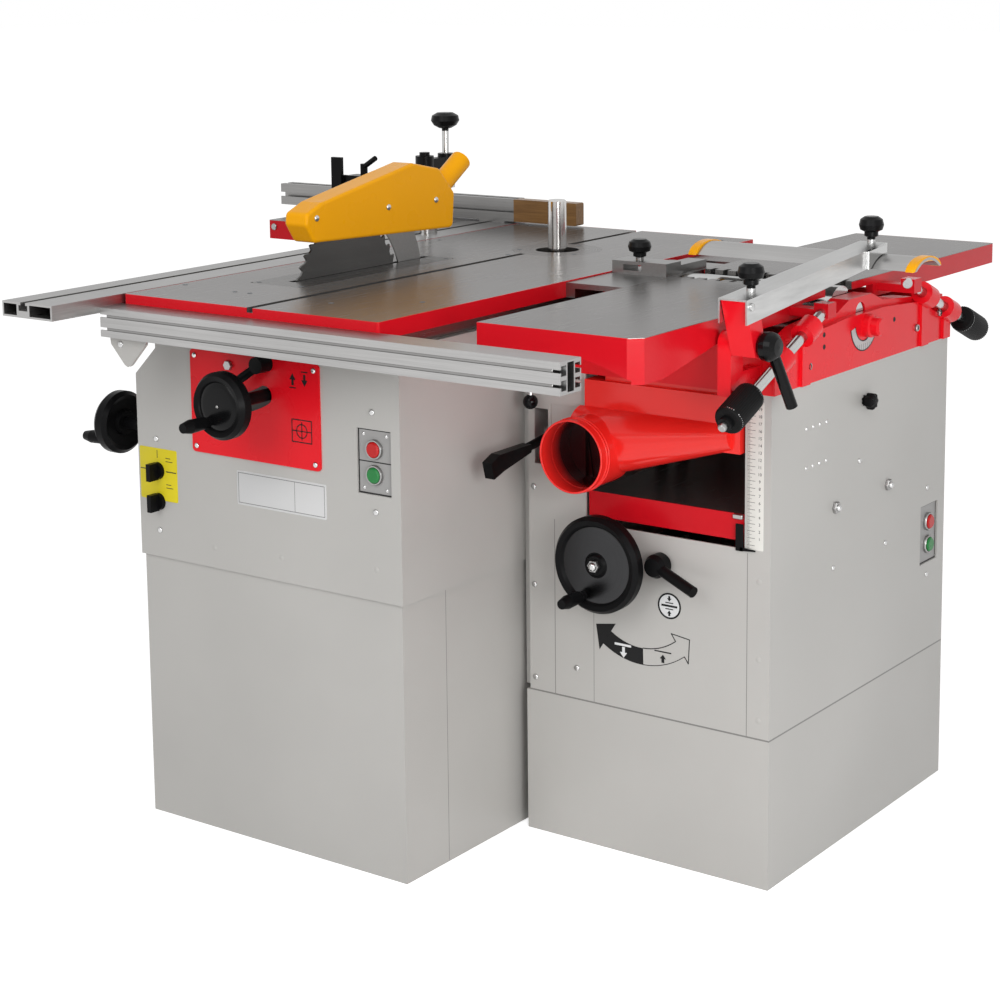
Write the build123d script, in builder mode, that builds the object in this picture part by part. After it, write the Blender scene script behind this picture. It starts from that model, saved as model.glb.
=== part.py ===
from build123d import *
import os
from math import acos, cos, degrees, radians, sin, sqrt, tan

# A combination woodworking machine: circular saw and spindle moulder on one cabinet,
# planer and thicknesser on the other. Millimetres, +Z up, +Y away from the operator.
# The origin is on the floor, under the middle of the saw cabinet.

os.makedirs("parts", exist_ok=True)

# Cabinets
saw_w = 500.0
saw_d = 826.0
saw_base_h = 405.0
saw_cab_top = 764.0
shoulder = 42.0
shoulder_z = 722.0
plinth_inset = 4.0
plinth_gap = 16.0
flange_set = 22.0
planer_w = 400.0
planer_d = 555.0
planer_base_h = 215.0
planer_cab_top = 700.0
cab_gap = 22.0
sheet = 3.0
flange = 25.0
top_flange = 15.0
bend_r = 5.0

# Clearances
clear = 0.3
run_gap = 0.06

# Saw table and its fittings
table_top = 812.0
table_w = 470.0
table_l = 1000.0
table_set = 50.0
table_front = -479.0
table_plate = 12.0
rim_h = 24.0
rim_w = 14.0
rib_set = 45.0
slot_x = 42.0
slot_w = 12.0
slot_depth = 7.0
insert_w = 100.0
insert_l = 370.0
insert_y0 = -300.0
insert_t = 5.0
insert_ledge = 6.0

# Saw unit
blade_x = -69.0
blade_y = -136.0
blade_r = 125.0
blade_t = 3.2
blade_teeth = 40
tooth_depth = 8.0
arbor_drop = 40.0
arbor_r = 10.0
collar_r = 20.0
collar_t = 8.0
housing_r = 24.0
housing_l = 70.0
arbor_pulley_r = 20.0
pulley_w = 26.0
belt_t = 5.0
belt_w = 20.0
motor_drop = 120.0
motor_pulley_r = 34.0
motor_r = 50.0
motor_l = 130.0
motor_shaft_r = 9.0
knife_t = 2.4
knife_gap = 5.0
knife_w = 55.0
tilt_max = 45.0
saw_lower = 40.0

# Tilting cradle
trunnion_r0 = 95.0
trunnion_r1 = 120.0
trunnion_t = 20.0
trunnion_front_y = -362.0
trunnion_rear_y = 100.0
shoe_r = 145.0
sector_r = 205.0
sector_t = 22.0
sector_teeth = 40
way_t = 24.0
carriage_t = 16.0
carriage_w = 230.0

# Handwheels
small_wheel_r = 48.0
small_wheel_t = 26.0
big_wheel_r = 70.0
big_wheel_t = 26.0
wheel_reach = 76.0
side_reach = 62.0
wheel_shaft_r = 9.0
grip_r = 9.0
grip_l = 48.0
rise_wheel_x = 8.0
rise_wheel_z = 675.0
tilt_wheel_y = -375.0
tilt_wheel_z = 591.0

# Red tilt panel and the controls on the saw cabinet
panel_x0 = -135.0
panel_w = 245.0
panel_z0 = 577.0
panel_h = 152.0
panel_t = 3.0
arc_half = 14.0
window_rim = 12.0
lock_x = 14.0
lock_z = 722.0
switch_w = 60.0
switch_h = 92.0
switch_set = 46.0
switch_z = 602.0
side_switch_y = 359.0
side_switch_z = 401.0
switch_t = 3.0
button_r = 11.0
button_pitch = 36.0
button_depth = 14.0
button_proud = 5.0
selector_x = -210.0
selector_z = 537.0
selector_pitch = 47.0
selector_r = 13.0

# Spindle moulder
spindle_x = 62.0
spindle_y = 241.0
spindle_r = 15.0
spindle_up = 82.0
spindle_drop_max = 75.0
ring_r = 72.0
ring_hole_r = 35.0
ring_t = 6.0
ring_ledge = 16.0
quill_r = 40.0
quill_l = 150.0
quill_top = 745.0
guide_z0 = 680.0
guide_z1 = 742.0
guide_wall = 14.0
spindle_wheel_z = 640.0

# Sliding carriage and crosscut fence
slide_w = 101.0
slide_gap = 3.0
slide_h = 22.0
slide_l = 1200.0
slide_front = -616.0
guide_h = 56.0
guide_w = 88.0
fence_y = 495.0
fence_x0 = -761.0
fence_l = 554.0
fence_h = 40.0
fence_t = 34.0
fence_lift = 3.0
tip_l = 135.0
outrigger_w = 322.0
outrigger_d = 240.0
outrigger_y0 = 307.0
outrigger_t = 34.0
stop_x = -614.0
hold_y = 308.0
hold_reach = 60.0
hold_top = 1017.0
post_r = 9.0

# Front rail
rail_x0 = -203.0
rail_l = 794.0
rail_d = 46.0
rail_h = 42.0
rail_mouth = 4.0
rail_drop = 14.0

# Planer and thicknesser
planer_table_w = 250.0
opening_w = 260.0
opening_x0 = 372.0
opening_z0 = 483.0
bed_front = -406.0
bed_l = 1090.0
bed_plate = 12.0
bed_rim = 32.0
mouth = 42.0
cutter_y = 136.0
cutter_r = 36.0
knife_proud = 1.0
journal_r = 15.0
cheek_t = 30.0
cheek_top = 776.0
way_angle = 22.4
rod_r = 8.0
rod_out = 14.0
boss_r = 17.0
boss_l = 30.0
boss_first = 56.0
apron_deep = 60.0
corner_cut = 16.0
web_t = 10.0
web_top = 766.0
infeed_drop = 20.0
outfeed_drop = 8.0
roller_r = 20.0
roller_step = 78.0
roller_journal_r = 9.0
thick_table_t = 37.0
thick_top = 530.0
thick_side = 3.0
column_r = 40.0
column_l = 240.0
thick_up = 8.0
thick_down = 40.0
thick_wheel_x = 424.0
thick_wheel_z = 440.0
thick_lock_x = 502.0
thick_lock_z = 443.0
port_r = 52.0
port_wall = 2.5
port_x = 400.0
port_z = 598.0
port_l = 25.0
neck_step = 1.0
port_front = -222.0
hood_back = 60.0
planer_motor_y = 250.0
planer_motor_z = 110.0
planer_motor_r = 62.0
planer_motor_l = 190.0
planer_pulley_r = 45.0
block_pulley_r = 20.0
planer_pulley_w = 24.0
feed_lever_x = 295.0
feed_lever_y = -100.0
feed_lever_z = 600.0
lever_out = 124.0
hatch_x = 312.0
hatch_w = 40.0
hatch_z = 560.0
hatch_h = 90.0

# Planer guard
guard_pivot_y = -205.0
guard_pivot_z = 780.0
guard_lean = 26.0
guard_rod_r = 8.0
guard_post_w = 36.0
guard_post_top = 846.0
arm_w = 44.0
arm_h = 33.0
arm_wall = 2.5
arm_l = 404.0
arm_rise = 4.3
bridge_l = 364.0
bridge_x0 = 402.0
bridge_d = 84.0
bridge_z = 846.0
bridge_h = 16.0

# Places that follow from the sizes above
saw_x0 = -saw_w / 2
saw_x1 = saw_w / 2
saw_front = -saw_d / 2
rear = saw_d / 2
planer_x0 = saw_x1 + cab_gap
planer_x1 = planer_x0 + planer_w
planer_front = rear - planer_d
shoulder_x = saw_x0 + shoulder
table_x0 = saw_x0 + table_set
table_x1 = table_x0 + table_w
switch_x = saw_x1 - switch_set
table_rear = table_front + table_l
arbor_z = table_top - arbor_drop
motor_z = arbor_z - motor_drop
opening_x1 = opening_x0 + opening_w
planer_mid_x = (opening_x0 + opening_x1) / 2
bed_x0 = planer_mid_x - planer_table_w / 2
bed_x1 = planer_mid_x + planer_table_w / 2
bed_rear = bed_front + bed_l
cutter_z = table_top - cutter_r - knife_proud
roller_z = cutter_z - cutter_r + roller_r
cheek_x0 = opening_x0 - cheek_t
cheek_x1 = opening_x1 + cheek_t
pivot = (blade_x, table_top)
rise_r = sqrt((rise_wheel_x - blade_x) ** 2 + (table_top - rise_wheel_z) ** 2)
rise_angle = degrees(acos((table_top - rise_wheel_z) / rise_r))


def front_plane(y):
    """Upright plane across the machine: sketch x is X, sketch y is Z."""
    return Plane(origin=(0, y, 0), x_dir=(1, 0, 0), z_dir=(0, -1, 0))


def side_plane(x):
    """Upright plane along the machine: sketch x is Y, sketch y is Z."""
    return Plane(origin=(x, 0, 0), x_dir=(0, 1, 0), z_dir=(1, 0, 0))


def block(x, y, z, mode=Mode.ADD):
    """A box between two limits along each axis."""
    with Locations(((x[0] + x[1]) / 2, (y[0] + y[1]) / 2, (z[0] + z[1]) / 2)):
        Box(x[1] - x[0], y[1] - y[0], z[1] - z[0], mode=mode)


def bar(start, along, radius, length, mode=Mode.ADD):
    """A round bar from a start point along a direction."""
    with BuildSketch(Plane(origin=start, z_dir=along)) as section:
        Circle(radius)
    extrude(to_extrude=section.sketch, amount=length, mode=mode)


def prism(plane, points, amount, mode=Mode.ADD):
    """A straight-sided outline carried along its plane's normal."""
    with BuildSketch(plane) as section:
        with BuildLine():
            Polyline(*points, close=True)
        make_face()
    extrude(to_extrude=section.sketch, amount=amount, mode=mode)


def turned(origin, along, profile, mode=Mode.ADD):
    """A turned form: the profile lists (radius, distance along the axis)."""
    upward = (0, 0, 1) if abs(along[2]) < 0.5 else (1, 0, 0)
    normal = Vector(upward).cross(Vector(along))
    across = Vector(along).cross(normal)
    with BuildSketch(Plane(origin=origin, x_dir=across, z_dir=normal)) as section:
        with BuildLine():
            Polyline(*profile, close=True)
        make_face()
    revolve(profiles=section.sketch, axis=Axis(origin, along), mode=mode)


def ring_sector(plane, centre, r0, r1, start, end, amount, mode=Mode.ADD):
    """Part of a flat ring, with angles counted from straight down towards sketch x."""
    middle = (start + end) / 2

    def at(r, angle):
        return (centre[0] + r * sin(radians(angle)), centre[1] - r * cos(radians(angle)))

    with BuildSketch(plane) as section:
        with BuildLine():
            ThreePointArc(at(r1, start), at(r1, middle), at(r1, end))
            Line(at(r1, end), at(r0, end))
            ThreePointArc(at(r0, end), at(r0, middle), at(r0, start))
            Line(at(r0, start), at(r1, start))
        make_face()
    extrude(to_extrude=section.sketch, amount=amount, mode=mode)


def arc_slot(plane, centre, radius, half, start, end, amount, mode):
    """A round-ended slot along an arc, angles as in ring_sector."""
    ring_sector(plane, centre, radius - half, radius + half, start, end, amount, mode)
    with BuildSketch(plane) as ends:
        for angle in (start, end):
            x = centre[0] + radius * sin(radians(angle))
            z = centre[1] - radius * cos(radians(angle))
            with Locations((x, z)):
                Circle(half)
    extrude(to_extrude=ends.sketch, amount=amount, mode=mode)


def handwheel(face, along, radius, thick, shaft_l, crank_angle):
    """Dished handwheel with hub, crank grip and its shaft; along points at the operator."""
    rim = radius - 12.0
    inward = tuple(-c for c in along)
    profile = [
        (0, thick - 3),
        (14, thick - 3),
        (17, thick - 7),
        (rim - 5, thick - 9),
        (rim, thick - 2),
        (radius - 5, thick),
        (radius, thick - 7),
        (radius, 6),
        (radius - 6, 0),
        (rim, 3),
        (20, 5),
        (18, -2),
        (0, -2),
    ]
    turned(face, along, profile)
    bar(face, inward, wheel_shaft_r, shaft_l)
    across = Vector((0, 0, 1)).cross(Vector(along))
    offset = across * (rim - 6) * sin(radians(crank_angle)) + Vector(0, 0, 1) * (rim - 6) * cos(
        radians(crank_angle)
    )
    seat = Vector(face) + offset
    grip = [(0, 8), (7, 8), (7, thick), (grip_r, thick + 6)]
    grip += [(grip_r + 1, thick + grip_l * 0.7), (grip_r - 2, thick + grip_l), (0, thick + grip_l)]
    turned(tuple(seat), along, grip)


def belt_loop(plane, first, first_r, second, second_r, amount):
    """A flat belt round two pulleys that stands a running gap off both."""
    with BuildSketch(plane) as outer:
        with Locations(first):
            Circle(first_r + clear + belt_t)
        with Locations(second):
            Circle(second_r + clear + belt_t)
        make_hull()
    with BuildSketch(plane) as inner:
        with Locations(first):
            Circle(first_r + clear)
        with Locations(second):
            Circle(second_r + clear)
        make_hull()
    extrude(to_extrude=outer.sketch, amount=amount)
    extrude(to_extrude=inner.sketch, amount=amount, mode=Mode.SUBTRACT)


def finish(builder, name):
    """Label a finished piece and write it."""
    builder.part.label = name
    export_step(builder.part, f"parts/{name}.step")


def plinth(x, y, height):
    """Folded sheet plinth with a closed floor pan and inward flanges at the top."""
    block(x, y, (0, height))
    block(
        (x[0] + sheet, x[1] - sheet),
        (y[0] + sheet, y[1] - sheet),
        (sheet, height - sheet),
        Mode.SUBTRACT,
    )
    block(
        (x[0] + flange, x[1] - flange),
        (y[0] + flange, y[1] - flange),
        (sheet, height),
        Mode.SUBTRACT,
    )


# Plinths of the two cabinets, each folded from sheet
saw_plinth_x = (saw_x0 + plinth_inset, saw_x1 - plinth_inset)
saw_plinth_y = (saw_front + plinth_inset, rear - plinth_inset)
with BuildPart() as plinths:
    plinth(saw_plinth_x, saw_plinth_y, saw_base_h)
    plinth((saw_x1 + plinth_gap, planer_x1), (planer_front, rear), planer_base_h)
finish(plinths, "plinths")

# Saw cabinet: folded shell with a sloped left shoulder under the carriage guide
saw_outline = [
    (saw_x0, saw_base_h),
    (saw_x1, saw_base_h),
    (saw_x1, saw_cab_top),
    (shoulder_x, saw_cab_top),
    (shoulder_x, shoulder_z),
    (saw_x0, shoulder_z - shoulder),
]
saw_inner = [
    (saw_x0 + sheet, saw_base_h + sheet),
    (saw_x1 - sheet, saw_base_h + sheet),
    (saw_x1 - sheet, saw_cab_top - sheet),
    (shoulder_x + sheet, saw_cab_top - sheet),
    (shoulder_x + sheet, shoulder_z - sheet * (sqrt(2) - 1)),
    (saw_x0 + sheet, shoulder_z - shoulder - sheet * (sqrt(2) - 1)),
]
window_x = (panel_x0 + window_rim, panel_x0 + panel_w - window_rim)
window_z = (panel_z0 + window_rim, panel_z0 + panel_h - window_rim)
worm_end = blade_x + 50.0
pinion_y = spindle_y + quill_r + wheel_shaft_r + clear
with BuildPart() as saw_cabinet:
    prism(front_plane(rear), saw_outline, saw_d)
    prism(front_plane(rear - sheet), saw_inner, saw_d - 2 * sheet, Mode.SUBTRACT)
    for low, high in ((saw_base_h, saw_base_h + sheet), (saw_cab_top - sheet, saw_cab_top)):
        block(
            (shoulder_x + top_flange, saw_x1 - flange),
            (saw_front + flange, rear - flange),
            (low, high),
            Mode.SUBTRACT,
        )
    bar((lock_x, saw_front, lock_z), (0, 1, 0), 6 + run_gap, sheet, Mode.SUBTRACT)
    block(window_x, (saw_front, saw_front + sheet), window_z, Mode.SUBTRACT)
    block(
        (switch_x - switch_w / 2, switch_x + switch_w / 2),
        (saw_front, saw_front + sheet),
        (switch_z - switch_h / 2, switch_z + switch_h / 2),
        Mode.SUBTRACT,
    )
    # bearing bracket of the tilt worm, welded inside the front wall
    block(
        (worm_end, worm_end + 18),
        (saw_front + sheet, tilt_wheel_y + 16),
        (tilt_wheel_z - 14, tilt_wheel_z + 14),
    )
    for y, z, length in (
        (tilt_wheel_y, tilt_wheel_z, worm_end + 18 - saw_x0),
        (pinion_y, spindle_wheel_z, 2 * sheet),
    ):
        bar((saw_x0, y, z), (1, 0, 0), wheel_shaft_r + run_gap, length, Mode.SUBTRACT)
    for step in range(2):
        bar(
            (selector_x, saw_front, selector_z - step * selector_pitch),
            (0, 1, 0),
            4 + run_gap,
            sheet,
            Mode.SUBTRACT,
        )
finish(saw_cabinet, "saw_cabinet")

# Planer cabinet: folded shell with the thicknessing passage cut through front and back
shelf_z = planer_base_h + 70.0
lever_slot_h = 82.0
with BuildPart() as planer_cabinet:
    block((planer_x0, planer_x1), (planer_front, rear), (planer_base_h, planer_cab_top))
    block(
        (planer_x0 + sheet, planer_x1 - sheet),
        (planer_front + sheet, rear - sheet),
        (planer_base_h + sheet, planer_cab_top),
        Mode.SUBTRACT,
    )
    block(
        (planer_x0 + flange, planer_x1 - flange),
        (planer_front + flange, rear - flange),
        (planer_base_h, planer_base_h + sheet),
        Mode.SUBTRACT,
    )
    block(
        (opening_x0, opening_x1),
        (planer_front, rear),
        (opening_z0, planer_cab_top),
        Mode.SUBTRACT,
    )
    # folded flanges that close the gap to the saw cabinet
    for y in (planer_front + flange_set, rear - sheet):
        block((saw_x1, planer_x0), (y, y + sheet), (planer_base_h, planer_cab_top))
    # shelf with the guide of the thicknessing table's column
    block(
        (planer_mid_x - 140, planer_x1 - sheet),
        (planer_front + sheet, rear - sheet),
        (shelf_z, shelf_z + 6),
    )
    bar((planer_mid_x, cutter_y, shelf_z - 30), (0, 0, 1), column_r + 14, 90)
    bar(
        (planer_mid_x, cutter_y, shelf_z - 30),
        (0, 0, 1),
        column_r + run_gap,
        90,
        Mode.SUBTRACT,
    )
    block(
        (feed_lever_x - 12, feed_lever_x + 12),
        (planer_front, planer_front + sheet),
        (feed_lever_z - lever_slot_h / 2, feed_lever_z + lever_slot_h / 2),
        Mode.SUBTRACT,
    )
    block(
        (hatch_x, hatch_x + hatch_w),
        (planer_front, planer_front + sheet / 2),
        (hatch_z, hatch_z + hatch_h),
        Mode.SUBTRACT,
    )
    # pivot pin of the feed lever, welded to the left wall
    bar((planer_x0 + sheet, feed_lever_y, feed_lever_z), (1, 0, 0), 6, 34)
    bar(
        (thick_wheel_x, planer_front, thick_wheel_z),
        (0, 1, 0),
        wheel_shaft_r + run_gap,
        sheet,
        Mode.SUBTRACT,
    )
    bar((thick_lock_x, planer_front, thick_lock_z), (0, 1, 0), 7 + run_gap, sheet, Mode.SUBTRACT)
    block(
        (planer_x1 - sheet, planer_x1),
        (side_switch_y - switch_w / 2, side_switch_y + switch_w / 2),
        (side_switch_z - switch_h / 2, side_switch_z + switch_h / 2),
        Mode.SUBTRACT,
    )
finish(planer_cabinet, "planer_cabinet")

# Cast saw table: plate with a deep rim, bearers, trunnions and the spindle guide below
insert_x0 = blade_x - insert_w / 2
insert_x1 = blade_x + insert_w / 2
insert_y1 = insert_y0 + insert_l
plate_z = table_top - table_plate
with BuildPart() as saw_table:
    block((table_x0, table_x1), (table_front, table_rear), (table_top - rim_h, table_top))
    fillet(saw_table.edges().filter_by(Axis.Z), 4)
    block(
        (table_x0 + rim_w, table_x1 - rim_w),
        (table_front + rim_w, table_rear - rim_w),
        (table_top - rim_h, plate_z),
        Mode.SUBTRACT,
    )
    # bearers along the cabinet's top flange
    bearer_y = (saw_front + sheet, rear - sheet)
    for x in (table_x0, table_x1 - rib_set):
        block((x, x + 12), bearer_y, (saw_cab_top, plate_z))
    # trunnions: arcs about the line where the blade meets the table top
    for y in (trunnion_front_y, trunnion_rear_y):
        ring_sector(
            front_plane(y + trunnion_t), pivot, trunnion_r0, trunnion_r1, -62, 62, trunnion_t
        )
        for side in (-1, 1):
            x = blade_x + side * (trunnion_r0 + trunnion_r1) / 2
            block((x - 12, x + 12), (y, y + trunnion_t), (table_top - 70, plate_z))
    # spindle guide
    bar(
        (spindle_x, spindle_y, guide_z0), (0, 0, 1), quill_r + guide_wall, plate_z - guide_z0
    )
    bar(
        (spindle_x, spindle_y, guide_z0), (0, 0, 1), quill_r + run_gap, table_top, Mode.SUBTRACT
    )
    bar(
        (spindle_x, spindle_y, table_top - ring_t), (0, 0, 1), ring_r + clear, ring_t, Mode.SUBTRACT
    )
    bar(
        (spindle_x, spindle_y, guide_z1),
        (0, 0, 1),
        quill_r + guide_wall - 8,
        table_top,
        Mode.SUBTRACT,
    )
    # mitre slot along the feed
    block(
        (slot_x - slot_w / 2, slot_x + slot_w / 2),
        (table_front, table_rear),
        (table_top - slot_depth, table_top),
        Mode.SUBTRACT,
    )
    # pocket and opening for the blade insert
    block(
        (insert_x0 - clear, insert_x1 + clear),
        (insert_y0 - clear, insert_y1 + clear),
        (table_top - insert_t, table_top),
        Mode.SUBTRACT,
    )
    block(
        (insert_x0 + insert_ledge, insert_x1 - insert_ledge),
        (insert_y0 + insert_ledge, insert_y1 - insert_ledge),
        (plate_z, table_top),
        Mode.SUBTRACT,
    )
finish(saw_table, "saw_table")

# Blade insert with a slot wide enough for the tilted blade
slot_left = blade_x - insert_t - 3.0
slot_right = blade_x + 3.5
with BuildPart() as table_insert:
    block(
        (insert_x0, insert_x1), (insert_y0, insert_y1), (table_top - insert_t, table_top)
    )
    fillet(table_insert.edges().filter_by(Axis.Z), 8)
    block(
        (slot_left, slot_right),
        (blade_y - blade_r - 2, insert_y1 - insert_ledge),
        (table_top - insert_t, table_top),
        Mode.SUBTRACT,
    )
finish(table_insert, "table_insert")

# Reducing ring round the spindle
with BuildPart() as spindle_ring:
    bar((spindle_x, spindle_y, table_top - ring_t), (0, 0, 1), ring_r, ring_t)
    bar(
        (spindle_x, spindle_y, table_top - ring_t), (0, 0, 1), ring_hole_r, ring_t, Mode.SUBTRACT
    )
finish(spindle_ring, "spindle_ring")

# Front rail: hollow extrusion with T-slots, bolted to the table's front edge
rail_top = table_top - rail_drop
rail_wall = 2.5
rail_y0 = table_front - rail_d
with BuildPart() as front_rail:
    block((rail_x0, rail_x0 + rail_l), (rail_y0, table_front), (rail_top - rail_h, rail_top))
    block(
        (rail_x0, rail_x0 + rail_l),
        (rail_y0 + 16, table_front - 16),
        (rail_top - rail_h + rail_wall, rail_top - rail_wall),
        Mode.SUBTRACT,
    )
    for z in (rail_top - rail_h * 0.28, rail_top - rail_h * 0.72):
        for mouth_y, inner_y in (
            ((rail_y0, rail_y0 + rail_wall), (rail_y0 + rail_wall, rail_y0 + 16 - rail_wall)),
            (
                (table_front - rail_wall, table_front),
                (table_front - 16 + rail_wall, table_front - rail_wall),
            ),
        ):
            mouth_z = (z - rail_mouth / 2, z + rail_mouth / 2)
            block((rail_x0, rail_x0 + rail_l), mouth_y, mouth_z, Mode.SUBTRACT)
            block((rail_x0, rail_x0 + rail_l), inner_y, (z - 6.5, z + 6.5), Mode.SUBTRACT)
finish(front_rail, "front_rail")

# Red tilt panel with the arc slot that the rise shaft travels in
with BuildPart() as tilt_panel:
    block(
        (panel_x0, panel_x0 + panel_w),
        (saw_front - panel_t, saw_front),
        (panel_z0, panel_z0 + panel_h),
    )
    fillet(tilt_panel.edges().filter_by(Axis.Y), 6)
    arc_slot(
        front_plane(saw_front),
        pivot,
        rise_r,
        arc_half,
        rise_angle - tilt_max,
        rise_angle,
        panel_t,
        Mode.SUBTRACT,
    )
    bar((lock_x, saw_front, lock_z), (0, -1, 0), 6 + run_gap, panel_t, Mode.SUBTRACT)
finish(tilt_panel, "tilt_panel")

# Switch plates behind the two cut-outs, each with a pair of button holes
plate_w = switch_w + 14.0
plate_h = switch_h + 14.0
button_z = (button_pitch / 2, -button_pitch / 2)
with BuildPart() as switch_plates:
    block(
        (switch_x - plate_w / 2, switch_x + plate_w / 2),
        (saw_front + sheet, saw_front + sheet + switch_t),
        (switch_z - plate_h / 2, switch_z + plate_h / 2),
    )
    block(
        (planer_x1 - sheet - switch_t, planer_x1 - sheet),
        (side_switch_y - plate_w / 2, side_switch_y + plate_w / 2),
        (side_switch_z - plate_h / 2, side_switch_z + plate_h / 2),
    )
    for dz in button_z:
        bar(
            (switch_x, saw_front, switch_z + dz),
            (0, 1, 0),
            button_r + clear,
            sheet + switch_t,
            Mode.SUBTRACT,
        )
        bar(
            (planer_x1, side_switch_y, side_switch_z + dz),
            (-1, 0, 0),
            button_r + clear,
            sheet + switch_t,
            Mode.SUBTRACT,
        )
finish(switch_plates, "switch_plates")

# Push buttons: stop above start, on both switches
button_profile = [
    (0, 0),
    (button_r - 3, 0),
    (button_r - 3, 2),
    (button_r, 2),
    (button_r, button_depth - 2),
    (button_r - 2, button_depth),
    (0, button_depth),
]
button_places = {
    "saw": ((switch_x, saw_front - button_proud + button_depth, switch_z), (0, -1, 0)),
    "planer": ((planer_x1 + button_proud - button_depth, side_switch_y, side_switch_z), (1, 0, 0)),
}
for machine, (place, outward) in button_places.items():
    for action, dz in zip(("stop", "start"), button_z):
        with BuildPart() as button:
            turned((place[0], place[1], place[2] + dz), outward, button_profile)
        finish(button, f"{machine}_{action}_button")

# Selector knobs on the saw cabinet
for name, step in (("speed_selector", 0), ("mode_selector", 1)):
    centre = (selector_x, saw_front, selector_z - step * selector_pitch)
    with BuildPart() as selector:
        turned(
            centre,
            (0, -1, 0),
            [(0, -14), (4, -14), (4, clear), (selector_r, clear), (selector_r - 1, 6), (0, 6)],
        )
        block(
            (selector_x - 4, selector_x + 4),
            (saw_front - 22, saw_front - 4),
            (centre[2] - selector_r, centre[2] + selector_r),
        )
    finish(selector, name)

# Tilting cradle: toothed sector, two shoes, beams and the upright ways of the saw carriage
way_y0 = blade_y - 54.0 - clear
way_y1 = way_y0 + carriage_w + 2 * clear
way_x0 = blade_x + 35.0
beam_z = (table_top - 152, table_top - 112)
beam_x = (way_x0, blade_x + 75)
shoe_r0 = trunnion_r1 + clear
sector_y0 = trunnion_front_y - sector_t - clear
with BuildPart() as tilt_cradle:
    ring_sector(
        front_plane(trunnion_front_y - clear), pivot, shoe_r0 - 14, sector_r, -6, 51, sector_t
    )
    tooth_step = 57.0 / sector_teeth
    for i in range(sector_teeth):
        angle = -6 + tooth_step * (i + 0.5)
        ring_sector(
            front_plane(trunnion_front_y - clear),
            pivot,
            sector_r - 5,
            sector_r + 1,
            angle - tooth_step / 4,
            angle + tooth_step / 4,
            sector_t,
            Mode.SUBTRACT,
        )
    ring_sector(
        front_plane(trunnion_front_y + trunnion_t), pivot, shoe_r0, shoe_r, -8, 50, trunnion_t + 5
    )
    ring_sector(
        front_plane(trunnion_rear_y + trunnion_t), pivot, shoe_r0, shoe_r, -8, 50, trunnion_t
    )
    block(beam_x, (trunnion_front_y, way_y0), beam_z)
    block(beam_x, (way_y1, trunnion_rear_y + trunnion_t), beam_z)
    for y in ((way_y0 - way_t, way_y0), (way_y1, way_y1 + way_t)):
        block((way_x0, way_x0 + 30), y, (table_top - 272, table_top - 30))
    block(
        (way_x0 + carriage_t + 1, way_x0 + 30),
        (way_y0 - way_t, way_y1 + way_t),
        (table_top - 292, table_top - 268),
    )
    # clear the trunnions over the whole arc
    for y in (trunnion_front_y, trunnion_rear_y):
        ring_sector(
            front_plane(y + trunnion_t + clear),
            pivot,
            0.1,
            shoe_r0,
            -89,
            89,
            trunnion_t + 2 * clear,
            Mode.SUBTRACT,
        )
    # bearing of the rise shaft
    bar(
        (rise_wheel_x, trunnion_front_y - clear, rise_wheel_z),
        (0, -1, 0),
        wheel_shaft_r + run_gap,
        sector_t,
        Mode.SUBTRACT,
    )
finish(tilt_cradle, "tilt_cradle")

# Saw carriage: slide plate with the arbor housing, the knife clamp and the motor shelf
plate_x = (way_x0, way_x0 + carriage_t)
housing_x0 = blade_x + 14.0
shelf_top = motor_z - motor_r
with BuildPart() as saw_carriage:
    block(plate_x, (way_y0 + clear, way_y1 - clear), (shelf_top - 10, table_top - 26))
    bar((housing_x0, blade_y, arbor_z), (1, 0, 0), housing_r, housing_l)
    block(
        (blade_x + knife_t / 2, plate_x[0]),
        (blade_y + blade_r + 14, way_y1 - clear),
        (arbor_z - 58, arbor_z - 24),
    )
    block(
        (plate_x[0], housing_x0 + housing_l + pulley_w + motor_l + 12),
        (blade_y - 46, blade_y + 46),
        (shelf_top - 10, shelf_top),
    )
    bar(
        (housing_x0, blade_y, arbor_z), (1, 0, 0), arbor_r + run_gap, housing_l, Mode.SUBTRACT
    )
finish(saw_carriage, "saw_carriage")

# Saw motor on its shelf
saw_belt_x = housing_x0 + housing_l + 3.0
motor_x0 = saw_belt_x + pulley_w + 6.0
with BuildPart() as saw_motor:
    turned(
        (motor_x0, blade_y, motor_z),
        (1, 0, 0),
        [
            (motor_shaft_r + 4, 0),
            (motor_r - 8, 0),
            (motor_r - 2, 6),
            (motor_r - 2, motor_l - 20),
            (motor_r - 8, motor_l),
            (motor_shaft_r + 4, motor_l),
        ],
    )
    bar((motor_x0 + 30, blade_y, motor_z), (1, 0, 0), motor_shaft_r + 6, motor_l - 30)
    for i in range(18):
        angle = radians(i * 20 + 10)
        y = blade_y + (motor_r - 2) * cos(angle)
        z = motor_z + (motor_r - 2) * sin(angle)
        if z > motor_z - motor_r * 0.6:
            block(
                (motor_x0 + 14, motor_x0 + motor_l - 30), (y - 1.5, y + 1.5), (z - 1.5, z + 1.5)
            )
    for x in (motor_x0 + 18, motor_x0 + motor_l - 48):
        block((x, x + 26), (blade_y - 40, blade_y + 40), (shelf_top, motor_z - motor_r * 0.7))
finish(saw_motor, "saw_motor")

# Motor pulley with its shaft
with BuildPart() as saw_motor_pulley:
    turned(
        (saw_belt_x, blade_y, motor_z),
        (1, 0, 0),
        [
            (0, 0),
            (motor_pulley_r, 0),
            (motor_pulley_r, pulley_w),
            (motor_shaft_r, pulley_w),
            (motor_shaft_r, pulley_w + 30),
            (0, pulley_w + 30),
        ],
    )
finish(saw_motor_pulley, "saw_motor_pulley")

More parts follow.
